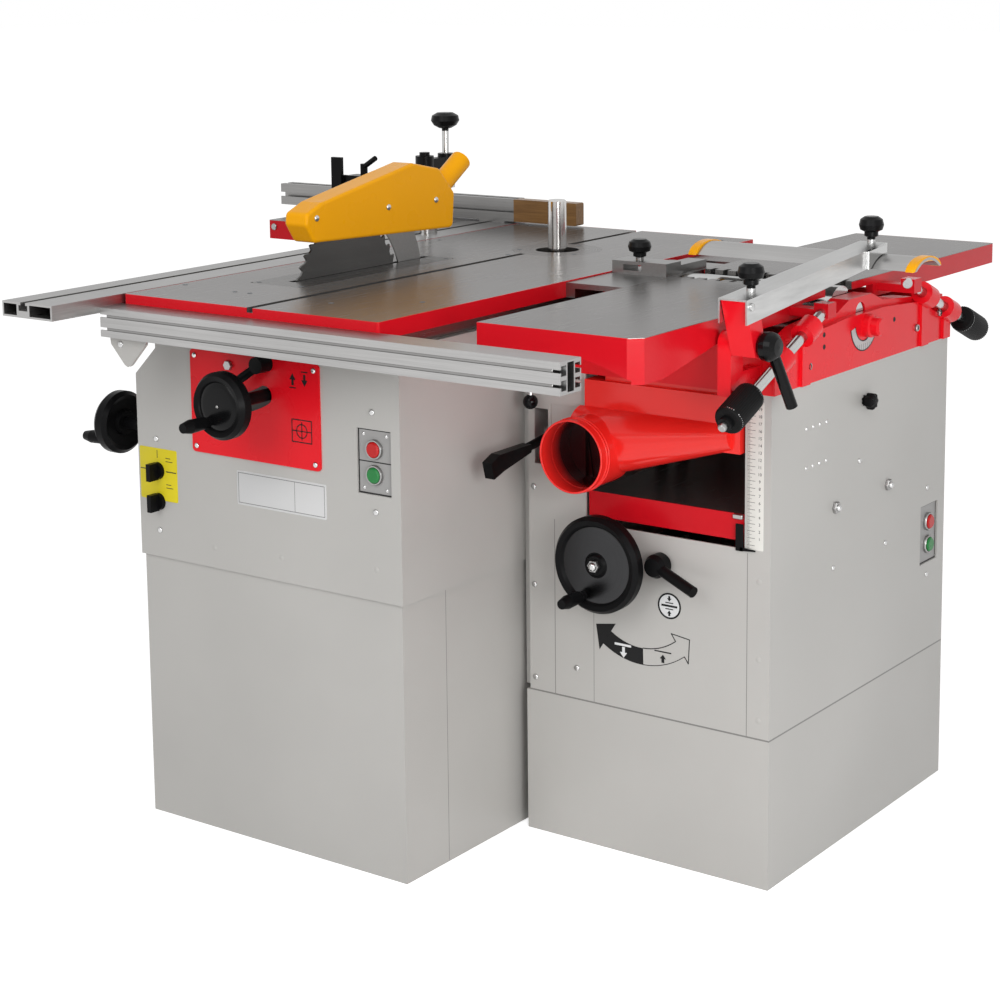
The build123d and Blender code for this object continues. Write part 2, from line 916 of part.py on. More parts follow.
# Saw belt
with BuildPart() as saw_belt:
    belt_loop(
        side_plane(saw_belt_x + (pulley_w - belt_w) / 2),
        (blade_y, arbor_z),
        arbor_pulley_r,
        (blade_y, motor_z),
        motor_pulley_r,
        belt_w,
    )
finish(saw_belt, "saw_belt")

# Arbor: blade collars, shaft and pulley, one turning piece with its nut
collar_x0 = blade_x - blade_t / 2 - collar_t
arbor_l = saw_belt_x + pulley_w - blade_x
with BuildPart() as saw_arbor:
    turned(
        (blade_x, blade_y, arbor_z),
        (1, 0, 0),
        [
            (0, -blade_t / 2 - collar_t - 11),
            (7, -blade_t / 2 - collar_t - 11),
            (12, -blade_t / 2 - collar_t - 9),
            (12, -blade_t / 2 - collar_t),
            (collar_r, -blade_t / 2 - collar_t),
            (collar_r, -blade_t / 2),
            (arbor_r, -blade_t / 2),
            (arbor_r, blade_t / 2),
            (collar_r, blade_t / 2),
            (collar_r, blade_t / 2 + collar_t),
            (arbor_r, blade_t / 2 + collar_t),
            (arbor_r, saw_belt_x - blade_x),
            (arbor_pulley_r, saw_belt_x - blade_x),
            (arbor_pulley_r, arbor_l),
            (0, arbor_l),
        ],
    )
finish(saw_arbor, "saw_arbor")

# Saw blade with raked teeth, drawn as one closed outline
tooth_angle = 360.0 / blade_teeth
tooth_shape = (
    (blade_r - tooth_depth, 0.0),
    (blade_r, 0.12),
    (blade_r - 2, 0.34),
    (blade_r - tooth_depth + 1, 0.62),
)
blade_line = []
for i in range(blade_teeth):
    for r, part_of_step in tooth_shape:
        angle = radians(tooth_angle * (i + part_of_step))
        blade_line.append((blade_y - r * cos(angle), arbor_z + r * sin(angle)))
with BuildPart() as saw_blade:
    with BuildSketch(side_plane(blade_x - blade_t / 2)):
        with BuildLine():
            Polyline(*blade_line, close=True)
        make_face()
        with Locations((blade_y, arbor_z)):
            Circle(arbor_r, mode=Mode.SUBTRACT)
    extrude(amount=blade_t)
finish(saw_blade, "saw_blade")

# Riving knife: a crescent that follows the blade
knife_r0 = blade_r + knife_gap
pin_r = 5.0
pin_y = blade_y + 106.0
pin_z = table_top + 72.0
with BuildPart() as riving_knife:
    ring_sector(
        side_plane(blade_x - knife_t / 2),
        (blade_y, arbor_z),
        knife_r0,
        knife_r0 + knife_w,
        68,
        138,
        knife_t,
    )
    bar((blade_x - knife_t, pin_y, pin_z), (1, 0, 0), pin_r + run_gap, 2 * knife_t, Mode.SUBTRACT)
finish(riving_knife, "riving_knife")

# Blade guard: hollow moulded hood with a rear extraction spout
guard_w = 44.0
guard_wall = 2.5
guard_low = table_top + 44.0
spout_r = 17.0
spout_l = 86.0
guard_line = [
    (blade_y - 98, guard_low + 12),
    (blade_y - 117, guard_low + 40),
    (blade_y - 115, guard_low + 57),
    (blade_y - 80, guard_low + 71),
    (blade_y + 140, guard_low + 112),
    (blade_y + 208, guard_low + 98),
    (blade_y + 247, guard_low + 56),
    (blade_y + 242, guard_low),
]
spout_along = (0, 0.84, 0.54)
spout_root = (blade_x, blade_y + 220, guard_low + 57)
with BuildPart() as blade_guard:
    with BuildSketch(side_plane(blade_x - guard_w / 2)):
        with BuildLine():
            Polyline(*guard_line, close=True)
        make_face()
    extrude(amount=guard_w)
    fillet(blade_guard.edges().filter_by(Axis.X), 9)
    top_edges = blade_guard.faces().filter_by(Axis.X).edges()
    fillet(top_edges.filter_by(lambda e: e.center().Z > guard_low + 14), 5)
    bar(spout_root, spout_along, spout_r, spout_l)
    with BuildSketch(side_plane(blade_x - guard_w / 2 + guard_wall)) as hollow:
        with BuildLine():
            Polyline(*guard_line, close=True)
        make_face()
        offset(amount=-guard_wall - 3)
    extrude(to_extrude=hollow.sketch, amount=guard_w - 2 * guard_wall, mode=Mode.SUBTRACT)
    # open underside
    block(
        (blade_x - guard_w / 2 + guard_wall, blade_x + guard_w / 2 - guard_wall),
        (blade_y - 90, blade_y + 232),
        (guard_low - 5, guard_low + 30),
        Mode.SUBTRACT,
    )
    bar(spout_root, spout_along, spout_r - guard_wall, spout_l + 2, Mode.SUBTRACT)
    # cross pin that hangs the hood on the knife
    bar((blade_x - guard_w / 2 + 1, pin_y, pin_z), (1, 0, 0), pin_r, guard_w - 2)
finish(blade_guard, "blade_guard")

# Rise handwheel, carried by the cradle
with BuildPart() as rise_handwheel:
    wheel_face = saw_front - wheel_reach
    handwheel(
        (rise_wheel_x, wheel_face, rise_wheel_z),
        (0, -1, 0),
        small_wheel_r,
        small_wheel_t,
        trunnion_front_y - 2 - wheel_face,
        218,
    )
finish(rise_handwheel, "rise_handwheel")

# Tilt handwheel with its worm under the sector
worm_r = table_top - sector_r - tilt_wheel_z - clear
with BuildPart() as tilt_handwheel:
    side_face = saw_x0 - side_reach
    handwheel(
        (side_face, tilt_wheel_y, tilt_wheel_z),
        (-1, 0, 0),
        small_wheel_r,
        small_wheel_t,
        worm_end + 18 - side_face,
        150,
    )
    bar((blade_x - 45, tilt_wheel_y, tilt_wheel_z), (1, 0, 0), worm_r, 90)
finish(tilt_handwheel, "tilt_handwheel")

# Tilt lock lever
with BuildPart() as tilt_lock_lever:
    bar((lock_x, saw_front + 10, lock_z), (0, -1, 0), 6, 10 + panel_t + 6)
    bar((lock_x, saw_front - panel_t - clear, lock_z), (0, -1, 0), 12, 24)
    bar((lock_x, saw_front - panel_t - 14, lock_z), (-0.78, -0.25, -0.58), 6.5, 62)
    bar((lock_x, saw_front - panel_t - 14, lock_z), (-0.78, -0.25, -0.58), 4, 70)
finish(tilt_lock_lever, "tilt_lock_lever")

# Spindle quill and the spindle that runs in it
quill_z0 = quill_top - quill_l
with BuildPart() as spindle_quill:
    bar((spindle_x, spindle_y, quill_z0), (0, 0, 1), quill_r, quill_l)
    bar(
        (spindle_x, spindle_y, quill_z0), (0, 0, 1), spindle_r + run_gap, quill_l, Mode.SUBTRACT
    )
finish(spindle_quill, "spindle_quill")
with BuildPart() as spindle:
    turned(
        (spindle_x, spindle_y, 0),
        (0, 0, 1),
        [
            (0, quill_z0 - 54),
            (30, quill_z0 - 54),
            (30, quill_z0 - 10),
            (spindle_r + 5, quill_z0 - 10),
            (spindle_r + 5, quill_z0 - clear),
            (spindle_r, quill_z0 - clear),
            (spindle_r, quill_top + clear),
            (spindle_r + 8, quill_top + clear),
            (spindle_r + 8, quill_top + 12),
            (spindle_r, quill_top + 12),
            (spindle_r, table_top + spindle_up - 2),
            (spindle_r - 2, table_top + spindle_up),
            (0, table_top + spindle_up),
        ],
    )
finish(spindle, "spindle")

# Spindle height handwheel on the left wall, with its pinion beside the quill
with BuildPart() as spindle_handwheel:
    handwheel(
        (side_face, pinion_y, spindle_wheel_z),
        (-1, 0, 0),
        small_wheel_r,
        small_wheel_t,
        spindle_x + 20 - side_face,
        40,
    )
finish(spindle_handwheel, "spindle_handwheel")

# Carriage guide along the saw cabinet's shoulder
slide_x1 = table_x0 - slide_gap
slide_x0 = slide_x1 - slide_w
slide_z0 = table_top - slide_h
guide_x1 = shoulder_x
guide_x0 = guide_x1 - guide_w
guide_top = slide_z0 - clear
with BuildPart() as carriage_guide:
    block((guide_x0, guide_x1), (saw_front, rear), (guide_top - guide_h, guide_top))
    block(
        (guide_x0 + 10, guide_x1 - 10),
        (saw_front, rear),
        (guide_top - guide_h + 4, guide_top - 14),
        Mode.SUBTRACT,
    )
    for x in (guide_x0, guide_x1 - 5):
        block((x, x + 5), (saw_front, rear), (guide_top - 30, guide_top - 18), Mode.SUBTRACT)
finish(carriage_guide, "carriage_guide")

# Sliding carriage: hollow extrusion with a T-slot along its top
slide_y = (slide_front, slide_front + slide_l)
t_slot_x = slide_x0 + slide_w * 0.42
with BuildPart() as sliding_carriage:
    block((slide_x0, slide_x1), slide_y, (slide_z0, table_top))
    block((t_slot_x - 5, t_slot_x + 5), slide_y, (table_top - 12, table_top), Mode.SUBTRACT)
    block((t_slot_x - 9, t_slot_x + 9), slide_y, (table_top - 12, table_top - 4), Mode.SUBTRACT)
    for low, high in ((slide_x0 + 3, t_slot_x - 13), (t_slot_x + 13, slide_x1 - 3)):
        block((low, high), slide_y, (slide_z0 + 3, table_top - 3), Mode.SUBTRACT)
finish(sliding_carriage, "sliding_carriage")

# Outrigger table bolted to the carriage's outer edge
with BuildPart() as outrigger_table:
    block(
        (slide_x0 - outrigger_w, slide_x0),
        (outrigger_y0, outrigger_y0 + outrigger_d),
        (table_top - outrigger_t, table_top),
    )
    fillet(outrigger_table.edges().filter_by(Axis.Z), 4)
    block(
        (slide_x0 - outrigger_w + 10, slide_x0 - 10),
        (outrigger_y0 + 10, outrigger_y0 + outrigger_d - 10),
        (table_top - outrigger_t, table_top - 10),
        Mode.SUBTRACT,
    )
finish(outrigger_table, "outrigger_table")

# Crosscut fence: slotted extrusion along X, with a wooden end piece
fence_z0 = table_top + fence_lift
fence_x1 = fence_x0 + fence_l
with BuildPart() as crosscut_fence:
    block((fence_x0, fence_x1), (fence_y, fence_y + fence_t), (fence_z0, fence_z0 + fence_h))
    mid_z = fence_z0 + fence_h / 2
    for y in (fence_y, fence_y + fence_t - 3):
        block((fence_x0, fence_x1), (y, y + 3), (mid_z - 4, mid_z + 4), Mode.SUBTRACT)
    for y in (fence_y + 3, fence_y + fence_t - 12):
        block((fence_x0, fence_x1), (y, y + 9), (mid_z - 8, mid_z + 8), Mode.SUBTRACT)
    block(
        (fence_x0, fence_x1),
        (fence_y + fence_t / 2 - 4, fence_y + fence_t / 2 + 4),
        (fence_z0 + fence_h - 7, fence_z0 + fence_h),
        Mode.SUBTRACT,
    )
    # foot that stands on the carriage
    block((slide_x0 + 20, slide_x0 + 76), (fence_y, fence_y + fence_t), (table_top, fence_z0))
finish(crosscut_fence, "crosscut_fence")
with BuildPart() as fence_tip:
    block(
        (fence_x1, fence_x1 + tip_l), (fence_y, fence_y + 24), (fence_z0, fence_z0 + fence_h)
    )
    fillet(fence_tip.edges().filter_by(Axis.Y).sort_by(Axis.X)[-2:], 3)
finish(fence_tip, "fence_tip")

# Flip stop hinged above the fence
stop_pin_z = fence_z0 + fence_h + 14.0
with BuildPart() as flip_stop:
    bar((stop_x - 14, fence_y + 8, stop_pin_z), (1, 0, 0), 10, 28)
    block((stop_x - 12, stop_x + 12), (fence_y - 8, fence_y + 8), (stop_pin_z - 4, stop_pin_z + 10))
    block(
        (stop_x - 12, stop_x + 12),
        (fence_y - 8, fence_y - clear),
        (fence_z0 + 4, stop_pin_z + 44),
    )
    bar((stop_x - 14, fence_y + 8, stop_pin_z), (1, 0, 0), 4 + run_gap, 28, Mode.SUBTRACT)
finish(flip_stop, "flip_stop")

# Carrier of the flip stop, and the post that holds the hold-down screw
with BuildPart() as stop_carrier:
    block(
        (stop_x + 16, stop_x + 66),
        (fence_y, fence_y + fence_t),
        (fence_z0 + fence_h, fence_z0 + fence_h + 24),
    )
    bar((stop_x - 16, fence_y + 8, stop_pin_z), (1, 0, 0), 4, 40)
    bar(
        (stop_x + 48, fence_y + fence_t / 2, fence_z0 + fence_h + 24), (0, 0, 1), 7, 22
    )
    bar(
        (stop_x + 48, fence_y + fence_t / 2, fence_z0 + fence_h + 40), (0.86, -0.2, 0.46), 5, 40
    )
finish(stop_carrier, "stop_carrier")
hold_x = t_slot_x
bracket_z = hold_top - 105.0
with BuildPart() as hold_down_post:
    bar((hold_x, hold_y, table_top), (0, 0, 1), 20, 8)
    bar((hold_x, hold_y, table_top), (0, 0, 1), post_r, bracket_z + 40 - table_top)
    bar((hold_x, hold_y, bracket_z), (0, 0, 1), 16, 34)
    block((hold_x - 9, hold_x + 9), (hold_y, hold_y + hold_reach), (bracket_z + 6, bracket_z + 28))
    bar((hold_x, hold_y + hold_reach, bracket_z), (0, 0, 1), 14, 34)
    bar((hold_x, hold_y + hold_reach, bracket_z), (0, 0, 1), 6 + run_gap, 34, Mode.SUBTRACT)
finish(hold_down_post, "hold_down_post")
with BuildPart() as hold_down_screw:
    turned(
        (hold_x, hold_y + hold_reach, 0),
        (0, 0, 1),
        [
            (0, bracket_z - 26),
            (16, bracket_z - 26),
            (16, bracket_z - 18),
            (6, bracket_z - 14),
            (6, hold_top - 28),
            (11, hold_top - 27),
            (20, hold_top - 22),
            (25, hold_top - 14),
            (23, hold_top - 5),
            (14, hold_top),
            (0, hold_top),
        ],
    )
finish(hold_down_screw, "hold_down_screw")

# Planer body: red casting with two cheeks, rod bosses and bearings
slope = (0, cos(radians(way_angle)), sin(radians(way_angle)))
back_slope = (0, -slope[1], slope[2])
infeed_rod_y = 0.0
outfeed_rod_y = 2 * cutter_y - infeed_rod_y
# each side: rod position across, height of the rod's upper end, rod length, boss places
rod_sides = {
    "right": (cheek_x1 + rod_out, cheek_top + 22.0, 238.0, (boss_first, 140.0)),
    "left": (cheek_x0 - rod_out, cheek_top - 8.0, 172.0, (boss_first, 138.0)),
}
ways = ((infeed_rod_y, slope), (outfeed_rod_y, back_slope))
cheek_line = [
    (planer_front, planer_cab_top),
    (rear, planer_cab_top),
    (rear, cheek_top - 36),
    (rear - 110, cheek_top),
    (cutter_y + 72, cheek_top + 8),
    (cutter_y + 36, cheek_top + 22),
    (cutter_y - 36, cheek_top + 22),
    (cutter_y - 72, cheek_top + 8),
    (planer_front + 110, cheek_top),
    (planer_front, cheek_top - 36),
]
skirt_line = [
    (planer_front, planer_cab_top),
    (rear, planer_cab_top),
    (rear, cheek_top - 50),
    (rear - 100, cheek_top - 8),
    (cutter_y + 60, cheek_top),
    (cutter_y - 60, cheek_top),
    (planer_front + 100, cheek_top - 8),
    (planer_front, cheek_top - 50),
]


def rod_point(origin_y, lean, lift, distance, x):
    """Point on an inclined way rod, a distance down from its upper end."""
    return (x, origin_y - lean[1] * distance, lift - lean[2] * distance)


with BuildPart() as planer_body:
    for x in (cheek_x0, opening_x1):
        prism(side_plane(x), cheek_line, cheek_t)
    # front and rear ties across the cheeks, each with an upright web under the table
    for y, web_y in ((planer_front, planer_front), (rear - 24, rear - web_t)):
        block((cheek_x0, cheek_x1), (y, y + 24), (planer_cab_top, planer_cab_top + 22))
        block((cheek_x0, cheek_x1), (web_y, web_y + web_t), (planer_cab_top, web_top))
    # skirt on the right wall, feet on the left one either side of the belt
    prism(side_plane(cheek_x1), skirt_line, planer_x1 - cheek_x1)
    for y in ((planer_front, cutter_y - 46), (cutter_y + 80, rear)):
        block((planer_x0, cheek_x0), y, (planer_cab_top, planer_cab_top + 8))
    for side, (x, lift, length, steps) in rod_sides.items():
        face = cheek_x1 if side == "right" else cheek_x0
        for origin_y, lean in ways:
            down = tuple(-c for c in lean)
            for step in steps:
                middle = rod_point(origin_y, lean, lift, step, x)
                start = tuple(c + boss_l / 2 * d for c, d in zip(middle, lean))
                bar(start, down, boss_r, boss_l)
                block(
                    (min(x, face), max(x, face)),
                    (middle[1] - 12, middle[1] + 12),
                    (planer_cab_top, middle[2] + 9),
                )
    for side, (x, lift, length, steps) in rod_sides.items():
        for origin_y, lean in ways:
            down = tuple(-c for c in lean)
            bar(
                rod_point(origin_y, lean, lift, -30, x),
                down,
                rod_r + run_gap,
                280,
                Mode.SUBTRACT,
            )
    bar(
        (cheek_x0, cutter_y, cutter_z),
        (1, 0, 0),
        journal_r + run_gap,
        cheek_x1 - cheek_x0,
        Mode.SUBTRACT,
    )
    for y in (cutter_y - roller_step, cutter_y + roller_step):
        bar(
            (cheek_x0, y, roller_z),
            (1, 0, 0),
            roller_journal_r + run_gap,
            cheek_x1 - cheek_x0,
            Mode.SUBTRACT,
        )
    # bearing boss of the cutterblock on the right-hand side, with its closed cap
    turned(
        (planer_x1 - 2, cutter_y, cutter_z - 18),
        (1, 0, 0),
        [(0, 0), (17, 0), (17, 12), (14, 14), (14, 24), (11, 27), (0, 27)],
    )
    # lug ahead of the right cheek with the pivot rod of the cutter guard
    lug_x = (opening_x1 + 2, opening_x1 + 22)
    block(lug_x, (guard_pivot_y - 16, planer_front + 2), (guard_pivot_z - 70, guard_pivot_z - 40))
    block(
        lug_x,
        (guard_pivot_y - 16, guard_pivot_y + 16),
        (guard_pivot_z - 70, guard_pivot_z),
    )
    bar((lug_x[0], guard_pivot_y, guard_pivot_z), (1, 0, 0), 16, 20)
    bar(
        (lug_x[0], guard_pivot_y, guard_pivot_z),
        (1, 0, 0),
        guard_rod_r,
        guard_post_w + 20 + 17,
    )
finish(planer_body, "planer_body")


def bed(name, lip_y, end_y, rod_y, lean):
    """One planer table: plate, deep rim, curved end apron and ears for the way rods."""
    ahead = 1 if end_y > lip_y else -1
    y_span = (min(lip_y, end_y), max(lip_y, end_y))
    with BuildPart() as table:
        block((bed_x0, bed_x1), y_span, (table_top - bed_rim, table_top))
        # end apron, deepest at the right-hand corner, with a curved lower edge
        apron_end = end_y - ahead * 16
        with BuildSketch(front_plane(max(end_y, apron_end))) as apron:
            with BuildLine():
                Spline(
                    (bed_x0, table_top - bed_rim),
                    (bed_x0 + planer_table_w * 0.4, table_top - bed_rim + 4),
                    (bed_x0 + planer_table_w * 0.72, table_top - bed_rim - 4),
                    (bed_x1, table_top - apron_deep),
                )
                Polyline(
                    (bed_x1, table_top - apron_deep),
                    (bed_x1, table_top - bed_plate),
                    (bed_x0, table_top - bed_plate),
                    (bed_x0, table_top - bed_rim),
                )
            make_face()
        if ahead < 0:
            extrude(to_extrude=apron.sketch, amount=16)
            prism(
                side_plane(bed_x1 - 12),
                [
                    (end_y, table_top - bed_plate),
                    (end_y, table_top - apron_deep),
                    (end_y + 60, table_top - apron_deep),
                    (end_y + 210, table_top - bed_rim),
                    (end_y + 210, table_top - bed_plate),
                ],
                12,
            )
        end_edges = table.edges().filter_by(Axis.Z).sort_by(lambda e: ahead * e.center().Y)[-2:]
        if ahead > 0:
            fillet(end_edges, 4)
        else:
            prism(
                Plane(origin=(0, 0, table_top - apron_deep - 1), z_dir=(0, 0, 1)),
                [
                    (bed_x1 - corner_cut - 1, end_y - 1),
                    (bed_x1 + 1, end_y - 1),
                    (bed_x1 + 1, end_y + corner_cut + 1),
                ],
                apron_deep + 2,
                Mode.SUBTRACT,
            )
        hollow = (min(lip_y, apron_end), max(lip_y, apron_end))
        block(
            (bed_x0 + 12, bed_x1 - 12),
            hollow,
            (table_top - apron_deep, table_top - bed_plate),
            Mode.SUBTRACT,
        )
        # side webs kept short of the rollers
        near = cutter_y + ahead * (roller_step + roller_r + 12)
        web = (min(lip_y, near), max(lip_y, near))
        block(
            (bed_x0, bed_x1), web, (table_top - bed_rim, table_top - bed_plate), Mode.SUBTRACT
        )
        # ears over the cheeks that take the upper rod ends
        for side, (x, lift, length, steps) in rod_sides.items():
            ear_x = (bed_x1 - 4, x + 11) if side == "right" else (x - 11, bed_x0 + 4)
            block(ear_x, (rod_y - 12, rod_y + 12), (ear_z, plate_z))
            tip_z = (lift - 9, lift + 11)
            tip_x = (x - 11, x + 11)
            block(
                tip_x, (rod_y - 12, rod_y + 12), (min(tip_z[0], ear_z), max(tip_z[1], plate_z))
            )
            foot = rod_point(rod_y, lean, lift, -20, x)
            bar(foot, tuple(-c for c in lean), rod_r, 50, Mode.SUBTRACT)
        # comb slots along the lip
        for i in range(11):
            x = bed_x0 + 15 + i * (planer_table_w - 30) / 10
            block(
                (x - 4, x + 4),
                (min(lip_y, lip_y + ahead * 14), max(lip_y, lip_y + ahead * 14)),
                (table_top - bed_plate, table_top),
                Mode.SUBTRACT,
            )
    finish(table, name)


lip_front = cutter_y - mouth
lip_rear = cutter_y + mouth
ear_z = cheek_top + 12.0
bed("infeed_table", lip_front, bed_front, infeed_rod_y, slope)
bed("outfeed_table", lip_rear, bed_rear, outfeed_rod_y, back_slope)

# Way rods of each table, with the black twist grip on the right-hand one
rod_short = {"infeed_rods": 0.0, "outfeed_rods": 26.0}
for name, (origin_y, lean) in zip(rod_short, ways):
    down = tuple(-c for c in lean)
    with BuildPart() as rods:
        right_x, right_lift, right_l, right_steps = rod_sides["right"]
        right_l -= rod_short[name]
        left_x, left_lift, left_l, left_steps = rod_sides["left"]
        bar(rod_point(origin_y, lean, right_lift, -12, right_x), down, rod_r, right_l)
        bar(rod_point(origin_y, lean, left_lift, -12, left_x), down, rod_r, left_l)
        grip_start = rod_point(origin_y, lean, right_lift, right_l - 16, right_x)
        turned(
            grip_start,
            down,
            [(0, 0), (17, 0), (20, 4), (19, 30), (20, 62), (17, 66), (10, 66), (10, 76), (0, 76)],
        )
    finish(rods, name)

# Cutterblock with knife slots, journals and the driven pulley
block_pulley_x0 = cheek_x0 - 6.0 - planer_pulley_w
with BuildPart() as cutterblock:
    bar((opening_x0 + 2, cutter_y, cutter_z), (1, 0, 0), cutter_r, opening_w - 4)
    bar(
        (block_pulley_x0, cutter_y, cutter_z), (1, 0, 0), journal_r, cheek_x1 - block_pulley_x0 - 2
    )
    bar((block_pulley_x0, cutter_y, cutter_z), (1, 0, 0), block_pulley_r, planer_pulley_w)
    for i in range(3):
        angle = radians(40 + i * 120)
        middle = (
            0,
            cutter_y + (cutter_r - 4) * cos(angle),
            cutter_z + (cutter_r - 4) * sin(angle),
        )
        knife_plane = Plane(
            origin=(opening_x0 + 2, middle[1], middle[2]),
            x_dir=(0, cos(angle), sin(angle)),
            z_dir=(1, 0, 0),
        )
        with BuildSketch(knife_plane) as gullet:
            Rectangle(14, 12)
        extrude(to_extrude=gullet.sketch, amount=opening_w - 4, mode=Mode.SUBTRACT)
        with BuildSketch(knife_plane) as knife:
            with Locations((-1.5, -3)):
                Rectangle(12, 4)
        extrude(to_extrude=knife.sketch, amount=opening_w - 4)
finish(cutterblock, "cutterblock")

# Feed rollers
for name, y in (
    ("infeed_roller", cutter_y - roller_step),
    ("outfeed_roller", cutter_y + roller_step),
):
    with BuildPart() as roller:
        bar((opening_x0 + 2, y, roller_z), (1, 0, 0), roller_r, opening_w - 4)
        bar((cheek_x0, y, roller_z), (1, 0, 0), roller_journal_r, cheek_x1 - cheek_x0)
    finish(roller, name)

# Planer motor on the floor flange of its plinth, with pulley and belt
planer_motor_x0 = block_pulley_x0 + planer_pulley_w + 6.0
with BuildPart() as planer_motor:
    turned(
        (planer_motor_x0, planer_motor_y, planer_motor_z),
        (1, 0, 0),
        [
            (14, 0),
            (planer_motor_r - 10, 0),
            (planer_motor_r, 8),
            (planer_motor_r, planer_motor_l - 30),
            (planer_motor_r - 10, planer_motor_l),
            (14, planer_motor_l),
        ],
    )
    bar((planer_motor_x0 + 30, planer_motor_y, planer_motor_z), (1, 0, 0), 20, planer_motor_l - 30)
    for x in (planer_motor_x0 + 24, planer_motor_x0 + planer_motor_l - 70):
        block(
            (x, x + 30),
            (planer_motor_y - 50, rear - sheet),
            (sheet, planer_motor_z - planer_motor_r * 0.7),
        )
finish(planer_motor, "planer_motor")
with BuildPart() as planer_motor_pulley:
    turned(
        (block_pulley_x0, planer_motor_y, planer_motor_z),
        (1, 0, 0),
        [
            (0, 0),
            (planer_pulley_r, 0),
            (planer_pulley_r, planer_pulley_w),
            (11, planer_pulley_w),
            (11, planer_pulley_w + 30),
            (0, planer_pulley_w + 30),
        ],
    )
finish(planer_motor_pulley, "planer_motor_pulley")
with BuildPart() as planer_belt:
    belt_loop(
        side_plane(block_pulley_x0 + (planer_pulley_w - belt_w) / 2),
        (cutter_y, cutter_z),
        block_pulley_r,
        (planer_motor_y, planer_motor_z),
        planer_pulley_r,
        belt_w,
    )
finish(planer_belt, "planer_belt")

# Thicknessing table on its column
with BuildPart() as thickness_table:
    block(
        (opening_x0 + thick_side, opening_x1 - thick_side),
        (planer_front + sheet + 1, rear - sheet - 1),
        (thick_top - thick_table_t, thick_top),
    )
    block(
        (opening_x0 + thick_side + 12, opening_x1 - thick_side - 12),
        (planer_front + 14, rear - 14),
        (thick_top - thick_table_t, thick_top - 14),
        Mode.SUBTRACT,
    )
    bar((planer_mid_x, cutter_y, thick_top - column_l), (0, 0, 1), column_r, column_l - 5)
finish(thickness_table, "thickness_table")

# Thicknessing handwheel, its shaft and the lock lever
with BuildPart() as thickness_handwheel:
    thick_face = planer_front - 34.0
    handwheel(
        (thick_wheel_x, thick_face, thick_wheel_z),
        (0, -1, 0),
        big_wheel_r,
        big_wheel_t,
        cutter_y - thick_face,
        205,
    )
finish(thickness_handwheel, "thickness_handwheel")
with BuildPart() as thickness_lock_lever:
    bar((thick_lock_x, planer_front + 20, thick_lock_z), (0, -1, 0), 7, 22)
    turned(
        (thick_lock_x, planer_front - clear, thick_lock_z),
        (0, -1, 0),
        [(0, 0), (13, 0), (17, 6), (17, 22), (13, 30), (0, 30)],
    )
    bar((thick_lock_x, planer_front - 20, thick_lock_z), (0.93, -0.25, -0.27), 8, 78)
finish(thickness_lock_lever, "thickness_lock_lever")

# Feed lever on its pin, reaching out through the slot
lever_x = (feed_lever_x - 8, feed_lever_x + 8)
with BuildPart() as feed_lever:
    bar((feed_lever_x - 8, feed_lever_y, feed_lever_z), (1, 0, 0), 14, 16)
    bar((feed_lever_x, feed_lever_y, feed_lever_z), (0, -0.99, -0.13), 6.5, lever_out)
    prism(
        side_plane(lever_x[0]),
        [
            (feed_lever_y - lever_out + 46, feed_lever_z - 4),
            (feed_lever_y - lever_out - 30, feed_lever_z - 5),
            (feed_lever_y - lever_out - 52, feed_lever_z - 14),
            (feed_lever_y - lever_out - 45, feed_lever_z - 38),
            (feed_lever_y - lever_out - 20, feed_lever_z - 30),
            (feed_lever_y - lever_out + 46, feed_lever_z - 16),
        ],
        lever_x[1] - lever_x[0],
    )
    bar((feed_lever_x - 8, feed_lever_y, feed_lever_z), (1, 0, 0), 6 + run_gap, 16, Mode.SUBTRACT)
finish(feed_lever, "feed_lever")

# Extraction hood under the cutterblock: round port, body tapering to the right, flat duct
duct_x = (opening_x0 + 4, opening_x1 - 4)
duct_z = (port_z + 18, planer_cab_top - 6)
duct_y = planer_front - 8.0
hood_root = Vector(duct_x[0], planer_front, port_z + 5)
hood_tip = Vector(duct_x[1] - 14, planer_front, port_z + 40)
hood_run = hood_tip - hood_root
root_r = port_r + 2.0
tip_r = 19.0


def hood_form(wall):
    """Collar, tapered body and duct, taken in by a wall thickness, clear of sheet and passage."""
    body = [(0, wall), (root_r - wall, wall)]
    body += [(tip_r - wall, hood_run.length - wall), (0, hood_run.length - wall)]
    with BuildPart() as form:
        bar((port_x, port_front + port_l, port_z), (0, -1, 0), port_r - wall, port_l)
        bar(
            (port_x, planer_front - wall, port_z),
            (0, -1, 0),
            port_r - neck_step - wall,
            planer_front - wall - port_front - port_l,
        )
        turned(tuple(hood_root), tuple(hood_run.normalized()), body)
        block(
            (duct_x[0] + wall, duct_x[1] - wall),
            (duct_y + wall, hood_back),
            (duct_z[0] + wall, duct_z[1] - wall),
        )
        block(
            (duct_x[0] - 60, duct_x[0] + wall),
            (duct_y - wall, hood_back + 1),
            (port_z - 80, duct_z[1] + 1),
            Mode.SUBTRACT,
        )
        block(
            (duct_x[0] - 60, duct_x[1] + 60),
            (planer_front + 3 - wall, hood_back + 1),
            (port_z - 80, duct_z[0] + wall),
            Mode.SUBTRACT,
        )
    return form.part


with BuildPart() as dust_hood:
    add(hood_form(0))
    add(hood_form(port_wall), mode=Mode.SUBTRACT)
    # strip that screws the duct up to the front tie of the planer body
    block(
        (duct_x[0] + 30, duct_x[1] - 30),
        (planer_front, planer_front + 24),
        (duct_z[1] - port_wall / 2, planer_cab_top),
    )
finish(dust_hood, "dust_hood")

